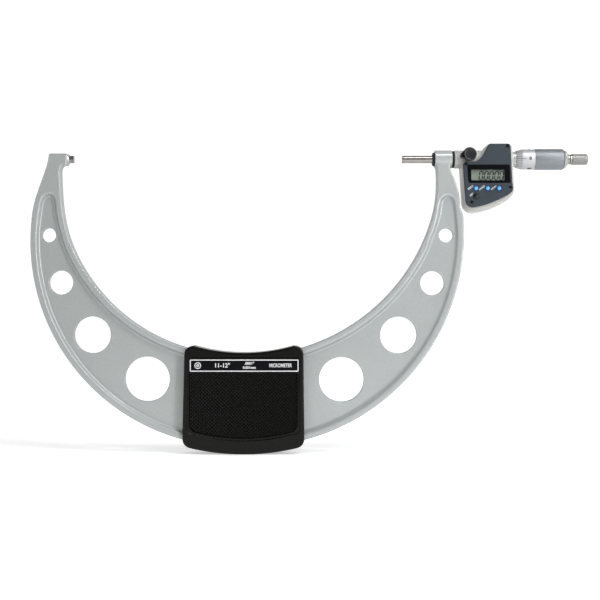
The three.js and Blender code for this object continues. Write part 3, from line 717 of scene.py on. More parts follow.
# The lightening holes' centre x, centre z and radius.
LEFT_HOLES = [(-20.9, -64.6, 6.0), (-10.6, -104.9, 10.2), (16.1, -149.3, 15.6), (62.8, -186.9, 19.0)]
RIGHT_HOLES = [
    (316.6, -64.7, 6.0), (304.9, -105.3, 10.2), (276.2, -149.5, 15.6), (227.7, -187.3, 19.0)
]


def cast_frame():
    """The U: rounded rims, a pocket in each face of both arms, and round-edged holes through the web."""
    solid = Solid()
    faces = solid.through_wall(frame_outline(), FRAME_HALF, 1.3)
    mouths = {-1: [], 1: []}
    for pocket, holes in ((left_pocket(), LEFT_HOLES), (right_pocket(), RIGHT_HOLES)):
        rims = [solid.through_wall(circle(*hole, 72), WEB_HALF, -0.45, 3, 0.1) for hole in holes]
        for side in (-1, 1):
            mouth, web = solid.layers(pocket, *[(by, side * y) for by, y in pocket_wall()])
            solid.fill(web, *[rim[side] for rim in rims])
            mouths[side].append(mouth)
    for side in (-1, 1):
        solid.fill(faces[side], *mouths[side])
    made = solid.piece("frame_casting", ENAMEL)
    profile = [(-19.5, 0), (-19.5, 4.7), (-5.4, 4.7), (-3.7, 3.8), (-3.7, 3.3), (-15.9, 3.3), (-15.9, 0)]
    combine(made, turned("anvil_boss", profile, ENAMEL, None, 96, 0.3, steps=4), "UNION")
    profile = [(307.1, 3.6), (307.1, 7.65), (321.6, 7.65), (321.6, 3.6)]
    combine(made, turned("head_boss", profile, ENAMEL, None, 128, 0.6, True, 4), "UNION")
    stands_for(settle(made, 30), "enamel", "frame")


cast_frame()


# ---- grip ----

GRIP_FACE = -span("front_grip", 1)[0]  # distance of either grip face from the middle plane
PANEL = {"left": 97.4, "right": 191.8, "top": -168.2, "side_bottom": -232.4}
PANEL_ARC = (144.6, -78.9, 159.6)  # the lower edge of the recessed panel
LABEL_LEFT, LABEL_RIGHT = span("label_plate")
LABEL_BOTTOM, LABEL_TOP = span("label_plate", 2)
GRIP_SCREWS = [f"grip_screw_{i}" for i in (1, 2, 3, 4)]


def grip_outline():
    top = (145.0, -11.9, 152.4)
    bottom = (144.7, -53.2, 197.0)
    path = Outline(94.75, -166.0)
    path.line(93.1, -236.0).curve((92.9, -243.9), (101.0, -245.2))
    path.arc(*bottom, angle_at_x(bottom, 102.0), angle_at_x(bottom, 187.6))
    path.line(188.5, -245.2).curve((196.4, -243.9), (196.2, -236.0))
    path.line(195.4, -166.0).curve((195.3, -158.7), (187.2, -158.4))
    path.arc(*top, angle_at_x(top, 186.5), angle_at_x(top, 103.5))
    path.line(103.0, -158.4).curve((94.9, -158.7), (94.75, -166.0))
    return path.closed()


def panel_outline():
    left, right, top, low = PANEL["left"], PANEL["right"], PANEL["top"], PANEL["side_bottom"]
    path = Outline(left, top - 1.5)
    path.line(left - 0.6, low + 5).curve((left - 0.7, low), (left + 5, low - 1.0))
    path.arc(*PANEL_ARC, angle_at_x(PANEL_ARC, left + 6), angle_at_x(PANEL_ARC, right - 6))
    path.line(right - 5, low - 1.0).curve((right + 0.7, low), (right + 0.6, low + 5))
    path.line(right, top - 1.5).curve((right, top), (right - 1.5, top))
    path.line(left + 1.5, top).curve((left, top), (left, top - 1.5))
    return path.closed()


def diamonds(solid, side, top, base, height, clear):
    """Rows of small pyramids at 45 degrees over the panel, clipped to its edges."""
    half, peak_size, clear_radius = 1.48, 0.26, 5.6
    left, right = PANEL["left"] + 1.2, PANEL["right"] - 1.2
    middle = (left + right) / 2

    def floor(x):
        low = PANEL_ARC[1] + PANEL_ARC[2] * math.sin(angle_at_x(PANEL_ARC, x)) + 1.6
        corner = max(0, abs(x - middle) - (right - left) / 2 + 5)
        return low + 0.16 * corner**2

    def kept(x, z):
        x = min(max(x, left), right)
        return x, min(max(z, floor(x)), top)

    for row in range(int((top + 245) / half)):
        z = top - row * half
        shift = half if row % 2 else 0
        for column in range(int((right - left) / (2 * half)) + 2):
            x = left + shift + 2 * half * column - half
            if any(math.dist((x, z), place) < clear_radius for place in clear):
                continue
            ring = [kept(x + half, z), kept(x, z + half), kept(x - half, z), kept(x, z - half)]
            area = sum(a[0] * b[1] - b[0] * a[1] for a, b in zip(ring, ring[1:] + ring[:1]))
            if area < 0.5:
                continue
            cx, cz = (sum(p[k] for p in ring) / 4 for k in (0, 1))
            peak = [(cx + peak_size * (a - cx), cz + peak_size * (b - cz)) for a, b in ring]
            levels = [(ring, base - side * 0.1), (ring, base), (peak, base + side * height)]
            rings = [solid.ring(points, y) for points, y in levels]
            solid.strips(rings)
            solid.faces += [tuple(rings[0]), tuple(rings[-1])]


def grip_half(name, node, side, texture_top, holes):
    """A moulded half that clasps the bottom of the U, with a recessed, diamond-cut panel."""
    solid = Solid()
    outline = grip_outline()
    face, seam, deep = side * GRIP_FACE, side * 0.12, side * 8.5
    recess, screw_radius = side * 0.75, 3.1
    wall, rim = solid.edge(outline, seam, face, 1.7, steps=6)
    closing = solid.ring(inset(outline, 0.35), seam)
    solid.strips([wall, solid.ring(outline, side * 0.5), closing])
    solid.fill(closing)
    base = face - recess
    slope = [(-0.5 + 0.8 * t, face - recess * t * t * (3 - 2 * t)) for t in (0, 0.25, 0.5, 0.75, 1)]
    mouth, floor = solid.layers(panel_outline(), (-0.75, face), *slope, (0.5, base))
    solid.fill(rim, mouth)
    mouths = []
    for place in holes:
        levels = [(-0.5, base), (-0.15, base), (0, base - side * 0.15), (0, deep), (1.2, deep)]
        lip, end = solid.layers(circle(*place, screw_radius, 40), *levels)
        solid.fill(end)
        mouths.append(lip)
    solid.fill(floor, *mouths)
    made = solid.piece(name, GRIP, angle=30)
    room = Solid()
    room.prism(inset(frame_outline(), -0.3), -7.05, 7.05)
    combine(made, room.piece("room", None, None), "DIFFERENCE")
    texture = Solid()
    diamonds(texture, side, texture_top, base, 0.55, holes)
    join_in(made, texture, GRIP_TEXTURE)
    pads = Solid()
    foot, top = base - side * 0.1, base + side * 0.6
    for x, z in holes:  # a smooth round pad about each screw, where the diamonds stop
        profile = soften([(foot, 3.75), (foot, 6.7), (top, 6.5), (top, 3.75)], 0.25, steps=3)
        pads.add(*across(x, z, profile + profile[:1], 64))
    if holes:
        join_in(made, pads, GRIP)
    stands_for(settle(made, 30), "grip_plastic", node)


grip_half("grip_front_shell", "front_grip", -1, LABEL_BOTTOM - 1.6, [])
grip_half("grip_rear_shell", "rear_grip", 1, PANEL["top"] - 1.4, [centre(n) for n in GRIP_SCREWS])


def label():
    """The printed label: a black plate with a pale border line and generic print."""
    face = span("label_plate", 1)[0]
    printed = face - 0.02
    outline = rounded_rectangle(LABEL_LEFT, LABEL_RIGHT, LABEL_BOTTOM, LABEL_TOP, 0.9)
    plate = Solid()
    plate.plate(outline, face + 0.7, face, 0.12)
    stands_for(plate.piece("label", LABEL_BLACK), "label", "label_plate")
    border = Solid()
    border.band(inset(outline, 0.1), inset(outline, 0.95), face, printed)
    border.piece("label_border", LABEL_WHITE, slot="label")
    middle = (LABEL_BOTTOM + LABEL_TOP) / 2

    def print_at(x, z):
        return lambda u, v, w: (x + u, face - w, z + v)

    lines = [
        ('11-12"', 5.0, print_at(126.8, middle)),
        ('.0001"', 3.1, print_at(149.8, middle + 1.75)),
        ("0.001mm", 2.9, print_at(149.8, middle - 1.75)),
    ]
    lettering("label_figures", LABEL_WHITE, "label", lines, weight=0.13)
    word = [("MICROMETER", 4.3, print_at(176.0, middle))]
    lettering("label_word", LABEL_WHITE, "label", word, weight=0.13, narrow=0.72)
    mark = Solid()
    for outer, inner in ((2.8, 2.05), (1.2, 0.4)):
        mark.band(circle(106.3, middle, outer), circle(106.3, middle, inner), face, printed)
    mark.piece("label_ring_mark", LABEL_WHITE, slot="label")


label()


# ---- measuring rods ----

ROD_RADIUS = 3.175
TIP_RADIUS = 3.17
PITCH = 0.635  # the spindle's travel for each turn, and a division of the sleeve


def measuring_rods():
    for node, name, look, slot, radius, edge, body in (
        ("anvil", "anvil_rod", GROUND_STEEL, "steel", ROD_RADIUS, 0.1, "body"),
        ("anvil_tip", "anvil_carbide", CARBIDE, "carbide", TIP_RADIUS, 0.2, "body"),
        ("spindle_tip", "spindle_carbide", CARBIDE, "carbide", TIP_RADIUS, 0.2, "spindle"),
    ):
        left, right = span(node)
        profile = [(left, 0), (left, radius), (right, radius), (right, 0)]
        stands_for(turned(name, profile, look, body, edge=edge), slot, node)
    left, right = span("spindle")
    start = right - 45.0  # the screw thread, as close rings
    crest, root = 3.8, 3.45
    profile = [(left, 0), (left, ROD_RADIUS), (start - 0.3, ROD_RADIUS), (start, root)]
    for i in range(62):
        x = start + PITCH * i
        profile += [(x + 0.16, crest), (x + 0.26, crest), (x + 0.52, root), (x + 0.6, root)]
    profile += [(right - 5.9, 4.42), (right, 3.68), (right, 1.86), (right - 12.6, 1.86), (right - 12.6, 0)]
    made = turned("spindle_rod", profile, GROUND_STEEL, "spindle", edge=0)
    low, high = span("encoder_rotor")
    key = box_cutter((low - 26.4, -0.85, 2.1), (high + 1, 0.85, 4))
    stands_for(settle(combine(made, key, "DIFFERENCE"), 32), "steel", "spindle")


measuring_rods()


# ---- seals and the graduated sleeve ----

SLEEVE_RADIUS = 6.55


def seals():
    left, right = span("spindle_wiper")
    profile = [(left, 3.3), (left, 4.9), (left + 0.7, 5.9), (right, 5.9), (right, 3.3)]
    made = turned("wiper_ring", profile, RUBBER, edge=0.25, ring=True)
    stands_for(made, "rubber", "spindle_wiper")
    left, right = span("neck_seal")
    middle, outer = (left + right) / 2, 7.2
    profile = [(left, 6.0), (left, outer), (middle - 0.3, outer), (middle, 6.95), (middle + 0.3, outer)]
    profile += [(right, outer), (right, 6.0)]
    stands_for(turned("neck_gasket", profile, RUBBER, edge=0.2, ring=True), "rubber", "neck_seal")


seals()


def wrapped(x, angle, radius):
    """A place for print on a cylinder about the spindle axis. angle 0 is the front, and turns upwards."""

    def place(u, v, w):
        at, r = angle + v / radius, radius + w
        return (x + u, -r * math.cos(at), r * math.sin(at))

    return place


def bar(solid, place, u0, u1, v0, v1, depth=0.03, steps=1):
    """A thin raised bar of print, from u0 to u1 and v0 to v1, put in place by a function."""
    verts = []
    for k in range(steps + 1):
        u = u0 + (u1 - u0) * k / steps
        for v, w in ((v0, -0.04), (v1, -0.04), (v1, depth), (v0, depth)):
            verts.append(place(u, v, w))
    faces = [(0, 1, 2, 3), tuple(4 * steps + i for i in (3, 2, 1, 0))]
    for k in range(steps):
        for i in range(4):
            j = (i + 1) % 4
            faces.append((4 * k + i, 4 * k + j, 4 * k + 4 + j, 4 * k + 4 + i))
    solid.add(verts, faces)


def graduated_sleeve():
    left, right = span("graduated_sleeve")
    profile = [(left, 5.95), (left, SLEEVE_RADIUS), (right, SLEEVE_RADIUS), (right, 5.95)]
    made = turned("sleeve_tube", profile, PALE_SATIN, ring=True)
    stands_for(made, "satin_chrome", "graduated_sleeve")
    marks = Solid()
    zero = span("thimble")[0] - 0.4
    front = wrapped(0, 0, SLEEVE_RADIUS)
    bar(marks, front, left + 0.5, zero + 25.4, -0.07, 0.07, 0.012, 4)
    for i in range(41):  # a line for each 0.025 inch, longer at each tenth, in steps round the sleeve
        x = zero + PITCH * i
        step = (2.6 if i % 4 == 0 else 1.5) / 4
        for k in range(4):
            bar(marks, front, x - 0.06, x + 0.06, step * k, step * (k + 1), 0.012)
    marks.piece("sleeve_marks", INK_AND_PAINTED_SHADE, slot="satin_chrome")
    lines = [(str(i % 10), 1.9, wrapped(zero + 2.54 * i, -0.32, SLEEVE_RADIUS)) for i in range(11)]
    lettering("sleeve_numerals", INK_AND_PAINTED_SHADE, "satin_chrome", lines, depth=0.02, weight=0.03)


graduated_sleeve()


# ---- thimble and ratchet ----


def paint(piece, look, test, x=0.0, z=None):
    """Gives another material to faces by a test of their centre: its x, or its y when the axis runs
    along Y at x and z, and its distance from the axis."""
    piece.data.materials.append(look)
    last = len(piece.data.materials) - 1
    for face in piece.data.polygons:
        a, b, c = face.center / MM
        if test(a, math.hypot(b, c)) if z is None else test(b, math.hypot(a - x, c - z)):
            face.material_index = last


def thimble():
    front, back = span("thimble")
    nose, barrel, knurl = 7.15, 8.5, 8.85  # radii
    bevel, step, shoulder = front + 5.0, front + 15.8, back - 2.1
    profile = [(front, 6.9), (front, nose), (bevel, barrel), (step - 0.5, barrel), (step - 0.45, 8.35)]
    profile += [(step - 0.05, 8.35), (step, knurl), (shoulder, knurl), (shoulder + 0.75, 7.9)]
    profile += [(shoulder + 0.8, 7.6), (shoulder + 1.1, 7.6), (shoulder + 1.15, 7.85), (back, 7.3)]
    profile += [(back, 3.95), (back - 6.3, 4.8), (back - 6.3, 6.9)]
    made = turned("thimble_barrel", profile, PALE_SATIN, "spindle", 160, 0.14, ring=True)
    paint(made, SATIN, lambda x, r: step - 0.1 < x < shoulder + 0.7 and r > 7.9)
    # Painted shade: the groove behind the knurled barrel is painted black.
    paint(made, INK_AND_PAINTED_SHADE, lambda x, r: shoulder + 0.6 < x < shoulder + 1.14 and 7 < r < 8)
    paint(made, RING_SATIN, lambda x, r: shoulder + 1.1 < x and r > 3.9)
    # Painted shade: the thimble's front edge, where it meets the sleeve, is painted black.
    paint(made, INK_AND_PAINTED_SHADE, lambda x, r: x < front + 0.2 and r < 7.2)
    stands_for(made, "satin_chrome", "thimble")
    marks = Solid()
    slope = (barrel - nose) / (bevel - front)
    for i in range(25):
        angle = FULL * i / 25
        end = front + (7.6 if i % 5 == 0 else 4.6)

        def place(u, v, w):
            r = nose + slope * min(u - front, bevel - front) + w
            at = angle + v / r
            return (u, -r * math.cos(at), r * math.sin(at))

        bar(marks, place, front + 0.15, min(bevel, end), -0.13, 0.13, 0.015)
        if end > bevel:
            bar(marks, place, bevel, end, -0.13, 0.13, 0.015)
    marks.piece("thimble_marks", INK_AND_PAINTED_SHADE, "spindle", slot="satin_chrome")
    lines = [(str(5 * i), 3.6, wrapped(front + 11.2, FULL * i / 5, barrel)) for i in range(5)]
    lettering("thimble_numerals", INK_AND_PAINTED_SHADE, "satin_chrome", lines, "spindle", 0.06, 0.22)


thimble()


def ratchet():
    left, right = span("thimble_end_ring")
    profile = [(left, 2.0), (left, 7.35), (left + 0.5, 7.35), (right, 5.0), (right, 2.0)]
    made = turned("end_ring", profile, RING_SATIN, "spindle", ring=True)
    stands_for(made, "steel", "thimble_end_ring")
    left, right = span("ratchet_base")
    collar, groove = 4.15, 3.9
    profile = [(left, 1.9), (left, collar), (left + 1.2, collar), (left + 1.3, groove)]
    profile += [(left + 1.9, groove), (left + 2.0, collar), (left + 3.2, collar), (left + 3.2, 3.65)]
    profile += [(right, 3.65), (right, 1.9)]
    made = turned("ratchet_collar", profile, RATCHET_STEEL, "spindle", edge=0.12, ring=True)
    # Painted shade: the groove in the collar and the narrow neck into the cap are painted black.
    paint(made, INK_AND_PAINTED_SHADE, lambda x, r: x > left + 3.2 or left + 1.25 < x < left + 1.95)
    stands_for(made, "steel", "ratchet_base")
    left, right = span("ratchet_cap")
    right -= 0.01
    profile = [(left, 3.75), (left, 4.56), (right - 1.5, 4.56), (right - 0.5, 4.3), (right, 3.3)]
    profile += [(right, 0), (right - 1.8, 0), (right - 1.8, 3.75)]
    path = soften(profile, 0.35, closed=False)
    made = turned("ratchet_knob", path + path[:1], WARM_SATIN, "ratchet", 128, edge=0)
    stands_for(made, "satin_chrome", "ratchet_cap")


ratchet()


# ---- head housing ----

HOUSING_FRONT = -10.0
HOUSING_BACK = 10.5
LEVER_X, LEVER_Z, LEVER_RADIUS, LEVER_NOSE = 335.4, 3.1, 5.8, 8.1


def housing_outline():
    path = Outline(332.0, -2.1, 0.5)
    path.line(336.0, -2.1).curve((347.0, -2.1), (347.6, 12.0), (352.2, 12.0))
    path.line(368.4, 12.0).curve((371.5, 12.0), (371.6, 9.0)).line(373.4, -25.5)
    path.curve((373.5, -31.3), (368.0, -35.0)).curve((356.0, -43.6), (341.5, -45.2))
    path.curve((332.2, -45.9), (331.0, -36.3)).line(328.9, -6.0).curve((328.8, -2.2), (332.0, -2.1))
    return path.closed()


def housing():
    solid = Solid()
    outline = housing_outline()
    # The front edge is rounder along the bottom, where the body stands out below the cover. The back
    # edge is sharper there, to leave room for the port.
    low = [min(1, max(0, (-30 - z) / 8)) for _, z in outline]
    front_radii, back_radii = [1.0 + 2.2 * t for t in low], [2.4 - 1.7 * t for t in low]
    front_wall, front = solid.edge(outline, 0, HOUSING_FRONT, front_radii, 6, 0.3)
    back_wall, back = solid.edge(outline, 0, HOUSING_BACK, back_radii, 6)
    solid.strip(front_wall, back_wall)
    solid.fill(front)
    well = circle(*centre("battery_cap"), 7.4, 64)
    port = rounded_rectangle(337.1, 353.9, -41.6, -34.8, 2.3)
    sinks = [
        solid.sink(hole, floor, HOUSING_BACK, 0.3, 3, 0.1, 0.4) for hole, floor in ((well, 7.7), (port, 9.3))
    ]
    solid.fill(back, *sinks)
    made = solid.piece("housing_body", HOUSING)
    left, end, radius = span("head_housing")[0], 350.0, 7.65
    neck = [(left, 5.7), (left, radius), (end, radius), (end, 5.7)]
    combine(made, turned("neck", neck, HOUSING, None, 128, 0.5, True, 4), "UNION")
    collar = [(369, 0), (369, 7.3), (373.3, 7.3), (373.3, 0)]
    combine(made, turned("collar", collar, HOUSING, None, 96, 0.7, steps=4), "UNION")
    bore = [(end, 0), (end, 5.9), (380, 5.9), (380, 0)]
    combine(made, turned("bore", bore, HOUSING, None, 96, 0), "DIFFERENCE")
    seat = Solid()
    seat.add(*across(LEVER_X, LEVER_Z, [(-10, 0), (-10, 4.8), (-2, 4.8), (-2, 0)], 64, 0.3))
    combine(made, seat.piece("seat", HOUSING, None), "UNION")
    stands_for(settle(made, 35), "housing_plastic", "head_housing")


housing()


# ---- front cover ----

COVER_FRONT = span("front_cover", 1)[0]
COVER_SCREWS = [f"cover_screw_{i}" for i in (1, 2, 3, 4)]
BLUE_BUTTONS = ["button_left", "button_middle", "button_right"]
BUTTONS = [*BLUE_BUTTONS, "button_lower"]


def cover_outline():
    path = Outline(333.0, -3.2, 0.5)
    path.line(337.0, -3.2).curve((348.5, -3.2), (348.8, 12.0), (353.2, 12.0))
    path.line(366.8, 12.0).curve((369.7, 12.0), (369.9, 9.2)).line(371.2, -19.0).line(372.0, -25.0)
    path.curve((372.3, -28.2), (369.2, -30.2)).curve((356.0, -38.2), (341.0, -41.3))
    path.curve((333.2, -43.0), (331.9, -36.0)).line(329.9, -7.0).curve((329.7, -3.2), (333.0, -3.2))
    return path.closed()


def bezel_outline(gap):
    left, right = span("display_bezel")
    bottom, top = span("display_bezel", 2)
    corner = 1.3
    path = Outline(left - gap, top - corner, 0.35)
    path.line(left + 1.0 - gap, bottom + corner)
    path.curve((left + 1.1 - gap, bottom - gap), (left + 1.1 + corner, bottom - gap))
    path.line(right - corner, bottom - gap)
    path.curve((right + gap, bottom - gap), (right + gap, bottom + corner))
    path.line(right - 0.5 + gap, top - corner)
    path.curve((right - 0.5 + gap, top + gap), (right - 0.5 - corner, top + gap))
    path.line(left + corner, top + gap).curve((left - gap, top + gap), (left - gap, top - corner))
    return path.closed()


def cover():
    """The front cover: rounded outside edge, and openings for the display, buttons and screws."""
    solid = Solid()
    back = HOUSING_FRONT - 0.02
    holes = [bezel_outline(0.12), *[circle(*centre(node), 2.55, 40) for node in BUTTONS]]
    ends = [solid.opening(hole, back, COVER_FRONT, 0.25, 3) for hole in holes]
    mouths = [mouth for mouth, _ in ends]
    for screw in COVER_SCREWS:
        hole = circle(*centre(screw), 1.35, 32)
        mouths.append(solid.sink(hole, -11.5, COVER_FRONT, 0.2, 3, 0.08, 0.3))
    rears = [rear for _, rear in ends]
    solid.plate(cover_outline(), back, COVER_FRONT, 0.7, 4, 0.25, mouths, rears)
    stands_for(solid.piece("cover_plate", COVER), "cover_plastic", "front_cover")


cover()


def socket_screw(node, name, look, slot, profile, segments, edge, size, bottom, top):
    """A screw along Y, with a hexagonal socket between bottom and top."""
    x, z = centre(node)
    solid = Solid()
    solid.add(*across(x, z, profile, segments, edge))
    made = solid.piece(name, look)
    key = Solid()
    key.prism(circle(x, z, size, 6), bottom, top)
    combine(made, key.piece("key", None, None), "DIFFERENCE")
    stands_for(settle(made), slot, node)


def cover_screws():
    for i, node in enumerate(COVER_SCREWS, 1):
        low, high = span(node, 1)
        under = low + 1.2
        profile = [(low, 0), (low, 1.12), (under, 1.12), (under, 0.75), (high, 0.75), (high, 0)]
        made = node, f"cover_screw_head_{i}", SCREW_BLACK, "black_steel"
        socket_screw(*made, profile, 40, 0.14, 0.62, low - 1, low + 0.7)


cover_screws()


# ---- display ----

LCD_LEFT, LCD_RIGHT, LCD_BOTTOM, LCD_TOP = 336.6, 364.9, -19.0, -10.0


def display():
    front, back = span("display_bezel", 1)
    solid = Solid()
    window = rounded_rectangle(LCD_LEFT, LCD_RIGHT, LCD_BOTTOM, LCD_TOP, 0.5, 0.3)
    mouth, rear = solid.opening(window, back, front, 0.3, 4)
    solid.plate(bezel_outline(0.0), back, front, 0.25, 4, 0.08, [mouth], [rear])
    stands_for(solid.piece("bezel", BLACK_GLOSS), "bezel_plastic", "display_bezel")
    for node, name, look, slot, corner in (
        ("display_window", "window_pane", WINDOW_GLASS, "window", 0.8),
        ("lcd_panel", "lcd_glass", LCD, "lcd", 0.6),
    ):
        face, rear = span(node, 1)
        pane = Solid()
        pane.plate(rounded_rectangle(*span(node), *span(node, 2), corner), rear, face, 0.1)
        made = stands_for(pane.piece(name, look), slot, node)
        made.visible_shadow = node != "display_window"
    digits(span("lcd_panel", 1)[0])


def digits(face):
    """Slanted seven-segment figures that read 0.0000, and a small unit sign."""
    solid = Solid()
    height, width, thick, slant = 6.9, 2.8, 1.25, 0.13
    base, gap, printed = -18.4, 0.12, face - 0.005

    def segment(x, corners):
        solid.prism([(x + u + slant * v, base + v) for u, v in corners], printed, printed - 0.04)

    def bevelled(a, b, at, upright):
        """A bar from a to b with pointed ends, along or across the figure."""
        h = thick / 2
        points = [(a, 0), (a + h, -h), (b - h, -h), (b, 0), (b - h, h), (a + h, h)]
        return [(at + v, u) if upright else (u, at + v) for u, v in points]

    half = height / 2
    for i in range(5):
        x = 343.2 + 4.32 * i
        for u in (0, width):
            segment(x, bevelled(gap, half - gap, u, True))
            segment(x, bevelled(half + gap, height - gap, u, True))
        for v in (0, height):
            segment(x, bevelled(gap, width - gap, v, False))
        if i == 0:
            segment(x, circle(3.75, 0.1, 0.36, 12))
    solid.piece("lcd_digits", LCD_INK, slot="lcd")

    def print_at(u, v, w):
        return (361.4 + u, printed - w, -10.75 + v)

    lettering("lcd_unit", LCD_INK, "lcd", [("in", 1.6, print_at)], weight=0.04)


display()


# ---- buttons and legends ----


def buttons():
    for node in BUTTONS:
        x, z = centre(node)
        low, high = span(node, 1)
        low += 0.01
        crown = [(0, 0), (0.03, 0.6), (0.15, 1.1), (0.45, 1.42), (0.85, 1.5), (0.9, 2.1), (1.2, 2.4)]
        flange = [(4.5, 2.4), (4.5, 2.85), (5.3, 2.85), (5.3, 1.3)]
        profile = [(low + along, radius) for along, radius in crown + flange]
        solid = Solid()
        solid.add(*across(x, z, profile + [(high, 1.3), (high, 0)], 48, 0.3))
        blue = node in BLUE_BUTTONS
        made = solid.piece(node + "_cap", BLUE_RING if blue else BLACK_BUTTON, node)
        if blue:
            paint(made, BLUE_CAP, lambda y, r: y < low + 0.9 and r < 1.5, x, z)
        stands_for(made, "blue_plastic" if blue else "bezel_plastic", node)


buttons()


def legends():
    """Generic words printed on a slant, up and to the left of each button."""
    slant, size = math.radians(37), 2.15
    c, s = math.cos(slant), math.sin(slant)

    def slanted(node):
        x, z = centre(node)
        x, z = x - 2.4, z + 2.3
        return lambda u, v, w: (x + u * c - v * s, COVER_FRONT - w, z + u * s + v * c)

    words = ("ZERO", "HOLD", "in/mm", "SET")
    lines = [(word, size, slanted(node)) for word, node in zip(words, BUTTONS)]
    lettering("cover_legends", LEGEND, "cover_plastic", lines, weight=0.07, align="RIGHT")


legends()


def grille_dots():
    """Rows of small raised dots below the buttons."""
    solid = Solid()
    dome = [(0.05, 0), (0.05, 0.3), (-0.05, 0.27), (-0.12, 0.18), (-0.15, 0)]
    profile = [(COVER_FRONT + along, radius) for along, radius in dome]
    for row in range(5):
        for column in range(9 - row):
            x = 347.6 + 1.7 * column + (0.85 if row % 2 else 0)
            z = -29.6 - 1.3 * row
            if z >= -36.6 + 0.46 * (x - 346.0):
                solid.add(*across(x, z, profile, 12))
    solid.piece("grille_dots", COVER, slot="cover_plastic")


grille_dots()


# ---- clamp lever ----


def lever():
    """A round knob with a short nose, a raised rim and a stem into the housing."""
    low, high = span("clamp_lever", 1)
    x, z, radius, nose = LEVER_X, LEVER_Z, LEVER_RADIUS, LEVER_NOSE
    start, end = math.radians(-118), math.radians(150)
    foot = (x + radius * math.cos(start), z + radius * math.sin(start))
    path = Outline(*foot, 0.4).arc(x, z, radius, start, end)
    path.curve((x - nose + 1.2, z + 1.3), (x - nose + 0.3, z + 0.2))
    path.curve((x - nose - 0.3, z - 1.6), (x - nose + 0.6, z - 3.4)).curve((x - 5.4, z - 3.6), foot)
    outline = path.closed()
    solid = Solid()
    back = HOUSING_FRONT - 0.3
    wall, face = solid.edge(outline, -12, low, 0.7)
    rear_wall, rear = solid.edge(outline, -12, back, 0.4, 3)
    solid.strip(wall, rear_wall)
    levels = [(-0.35, low), (-0.2, low + 0.03), (0, low + 0.25), (0.3, low + 0.5), (0.7, low + 0.55)]
    mouth, dish = solid.layers(circle(x, z, 4.5, 64), *levels)
    stem, tip = solid.layers(circle(x, z, 2.5, 40), (0, back), (0, high - 0.3), (0.3, high))
    for loops in ((face, mouth), (dish,), (rear, stem), (tip,)):
        solid.fill(*loops)
    stands_for(solid.piece("lever_knob", LEVER_PLASTIC, "clamp"), "cover_plastic", "clamp_lever")


lever()


# ---- back of the head and of the grip ----

PORT_SCREWS = ["port_screw_1", "port_screw_2"]


def battery_lid():
    x, z = centre("battery_cap")
    low, high = span("battery_cap", 1)
    solid = Solid()
    profile = [(low, 0), (low, 6.1), (low + 1.4, 6.1), (low + 1.4, 7.1), (high - 0.35, 7.1)]
    profile += [(high, 6.75), (high, 5.9), (high - 0.15, 5.7), (high - 0.15, 0)]
    solid.add(*across(x, z, profile, 72, 0.15))
    made = solid.piece("battery_lid", COVER)
    coin_slot = box_cutter((x - 4.6, high - 0.9, z - 0.75), (x + 4.6, high + 1, z + 0.75))
    combine(made, coin_slot, "DIFFERENCE")
    stands_for(settle(made), "cover_plastic", "battery_cap")


def port_lid():
    back, face = span("port_cover", 1)
    solid = Solid()
    holes = [circle(*centre(screw), 1.75, 32) for screw in PORT_SCREWS]
    mouths = [solid.sink(hole, face - 0.6, face, 0.15, 2, 0.05, 0.2) for hole in holes]
    outline = rounded_rectangle(*span("port_cover"), *span("port_cover", 2), 2.0)
    solid.plate(outline, back, face, 0.3, 3, 0.1, mouths)
    stands_for(solid.piece("port_lid", GRIP), "grip_plastic", "port_cover")


def back_screws():
    """The screws of the port lid and of the grip. A size is head radius, shank radius and socket."""
    for nodes, deep, (head, shank, size) in (
        (PORT_SCREWS, 0.5, (1.38, 0.78, 0.72)),
        (GRIP_SCREWS, 1.8, (2.7, 1.48, 1.4)),
    ):
        for node in nodes:
            low, high = span(node, 1)
            under = high - deep
            profile = [(low, 0), (low, shank), (under, shank), (under, head), (high, head), (high, 0)]
            made = node, node + "_head", SCREW_STEEL, "steel"
            socket_screw(*made, profile, 48, 0.16, size, high - 0.6 * deep, high + 1)


battery_lid()
port_lid()
back_screws()


# ---- CAD nodes that are shown as they are ----

INNER_LOOKS = {
    "front_sleeve": GROUND_STEEL,
    "rear_sleeve": MACHINED,
    "adjusting_nut": MACHINED,
    "clamp_shoe": BRASS,
    "encoder_rotor": BRASS,
    "encoder_stator": BOARD,
    "circuit_board": BOARD,
    "coin_cell": CELL_STEEL,
    "battery_seal": RUBBER,
    "ratchet_pawl": MACHINED,
    "ratchet_spring": MACHINED,
    "ratchet_screw": MACHINED,
}
for node, look in INNER_LOOKS.items():
    for material_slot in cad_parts[node].material_slots:
        material_slot.material = look


# ---- floor, light and camera ----


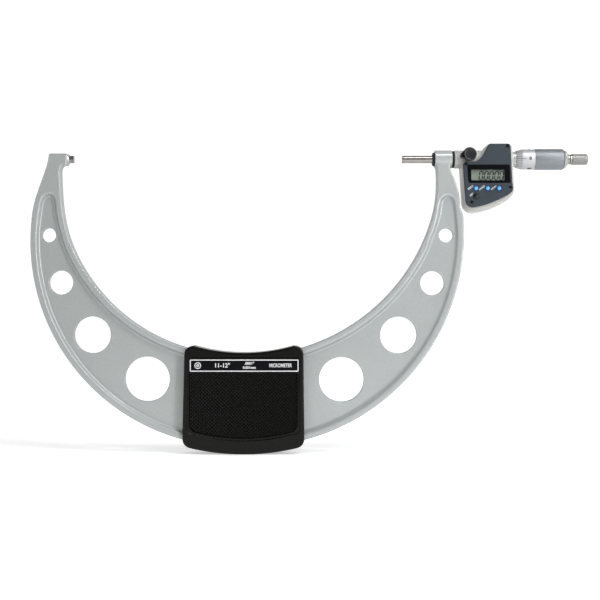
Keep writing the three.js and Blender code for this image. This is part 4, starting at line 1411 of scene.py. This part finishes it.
def backdrop():
    """A pale floor under the grip that runs out to the horizon."""
    floor, far = CAD_BOX[0][2], 60
    corners = [(-far, -far, floor), (far, -far, floor), (far, far, floor), (-far, far, floor)]
    mesh = bpy.data.meshes.new("floor")
    mesh.from_pydata(corners, [], [(0, 1, 2, 3)])
    made = bpy.data.objects.new("floor", mesh)
    bpy.context.scene.collection.objects.link(made)
    paper = Look("paper", (0.93, 0.93, 0.93), 0.85, Emission_Color=(1, 1, 1, 1))
    paper.tint(paper.noise(400), (0.915, 0.915, 0.915), 0.6)
    depth = paper.node("SeparateXYZ", {"Vector": paper.place}).outputs["Y"]
    glow = paper.ranged(depth, 0.25, 0.64, -0.7, 0.9)
    paper.tree.links.new(glow, paper.shader.inputs["Emission Strength"])
    mesh.materials.append(paper.done())


def light(name, place, aim, size, power):
    data = bpy.data.lights.new(name, "AREA")
    data.shape = "RECTANGLE"
    data.size, data.size_y = size
    data.energy = power
    made = bpy.data.objects.new(name, data)
    made.visible_camera = False
    made.location = place
    made.rotation_euler = (Vector(aim) - Vector(place)).to_track_quat("-Z", "Y").to_euler()
    bpy.context.scene.collection.objects.link(made)


def surround():
    """A dim room with a bright horizon, white behind the object and dark in front of it."""
    world = bpy.data.worlds.new("studio")
    world.use_nodes = True
    sky = Nodes(world.node_tree)
    way = sky.node("TexCoord").outputs["Generated"]
    split = sky.node("SeparateXYZ", {"Vector": way})
    depth, height = split.outputs["Y"], split.outputs["Z"]
    room = sky.ranged(depth, 0.26, 0.42, -0.7, 0.5)
    away = sky.ranged(depth, 0, 1, -0.9, -0.4)
    low = sky.ranged(height, 1, 0, 0.28, 0.6)
    glow = sky.ranged(depth, 0.36, 0.66, 0.5, 0.92)
    band = sky.maths("MULTIPLY", sky.maths("MULTIPLY", away, low), glow)
    background = sky.tree.nodes["Background"]
    sky.tree.links.new(sky.maths("ADD", room, band), background.inputs["Strength"])
    background.inputs["Color"].default_value = (1, 1, 1, 1)
    bpy.context.scene.world = world


def studio():
    backdrop()
    middle = (0.2, 0, -0.1)
    light("key", (0.78, -0.62, 0.32), (0.25, 0, -0.1), (0.16, 1.1), 6.6)
    light("fill", (-0.9, -1.1, 0.25), middle, (0.12, 0.9), 1.4)
    light("front", (0.5, -0.5, 0.8), (0.38, 0, 0), (0.5, 0.3), 2.8)
    surround()
    bpy.context.scene.view_settings.view_transform = "Standard"


def camera():
    data = bpy.data.cameras.new("camera")
    data.lens = 70.4
    data.sensor_width = 36
    made = bpy.data.objects.new("camera", data)
    made.location = (0.1925, -1.0, -0.1197)
    made.rotation_euler = (math.pi / 2, 0, 0)
    bpy.context.scene.collection.objects.link(made)
    bpy.context.scene.camera = made


studio()
camera()
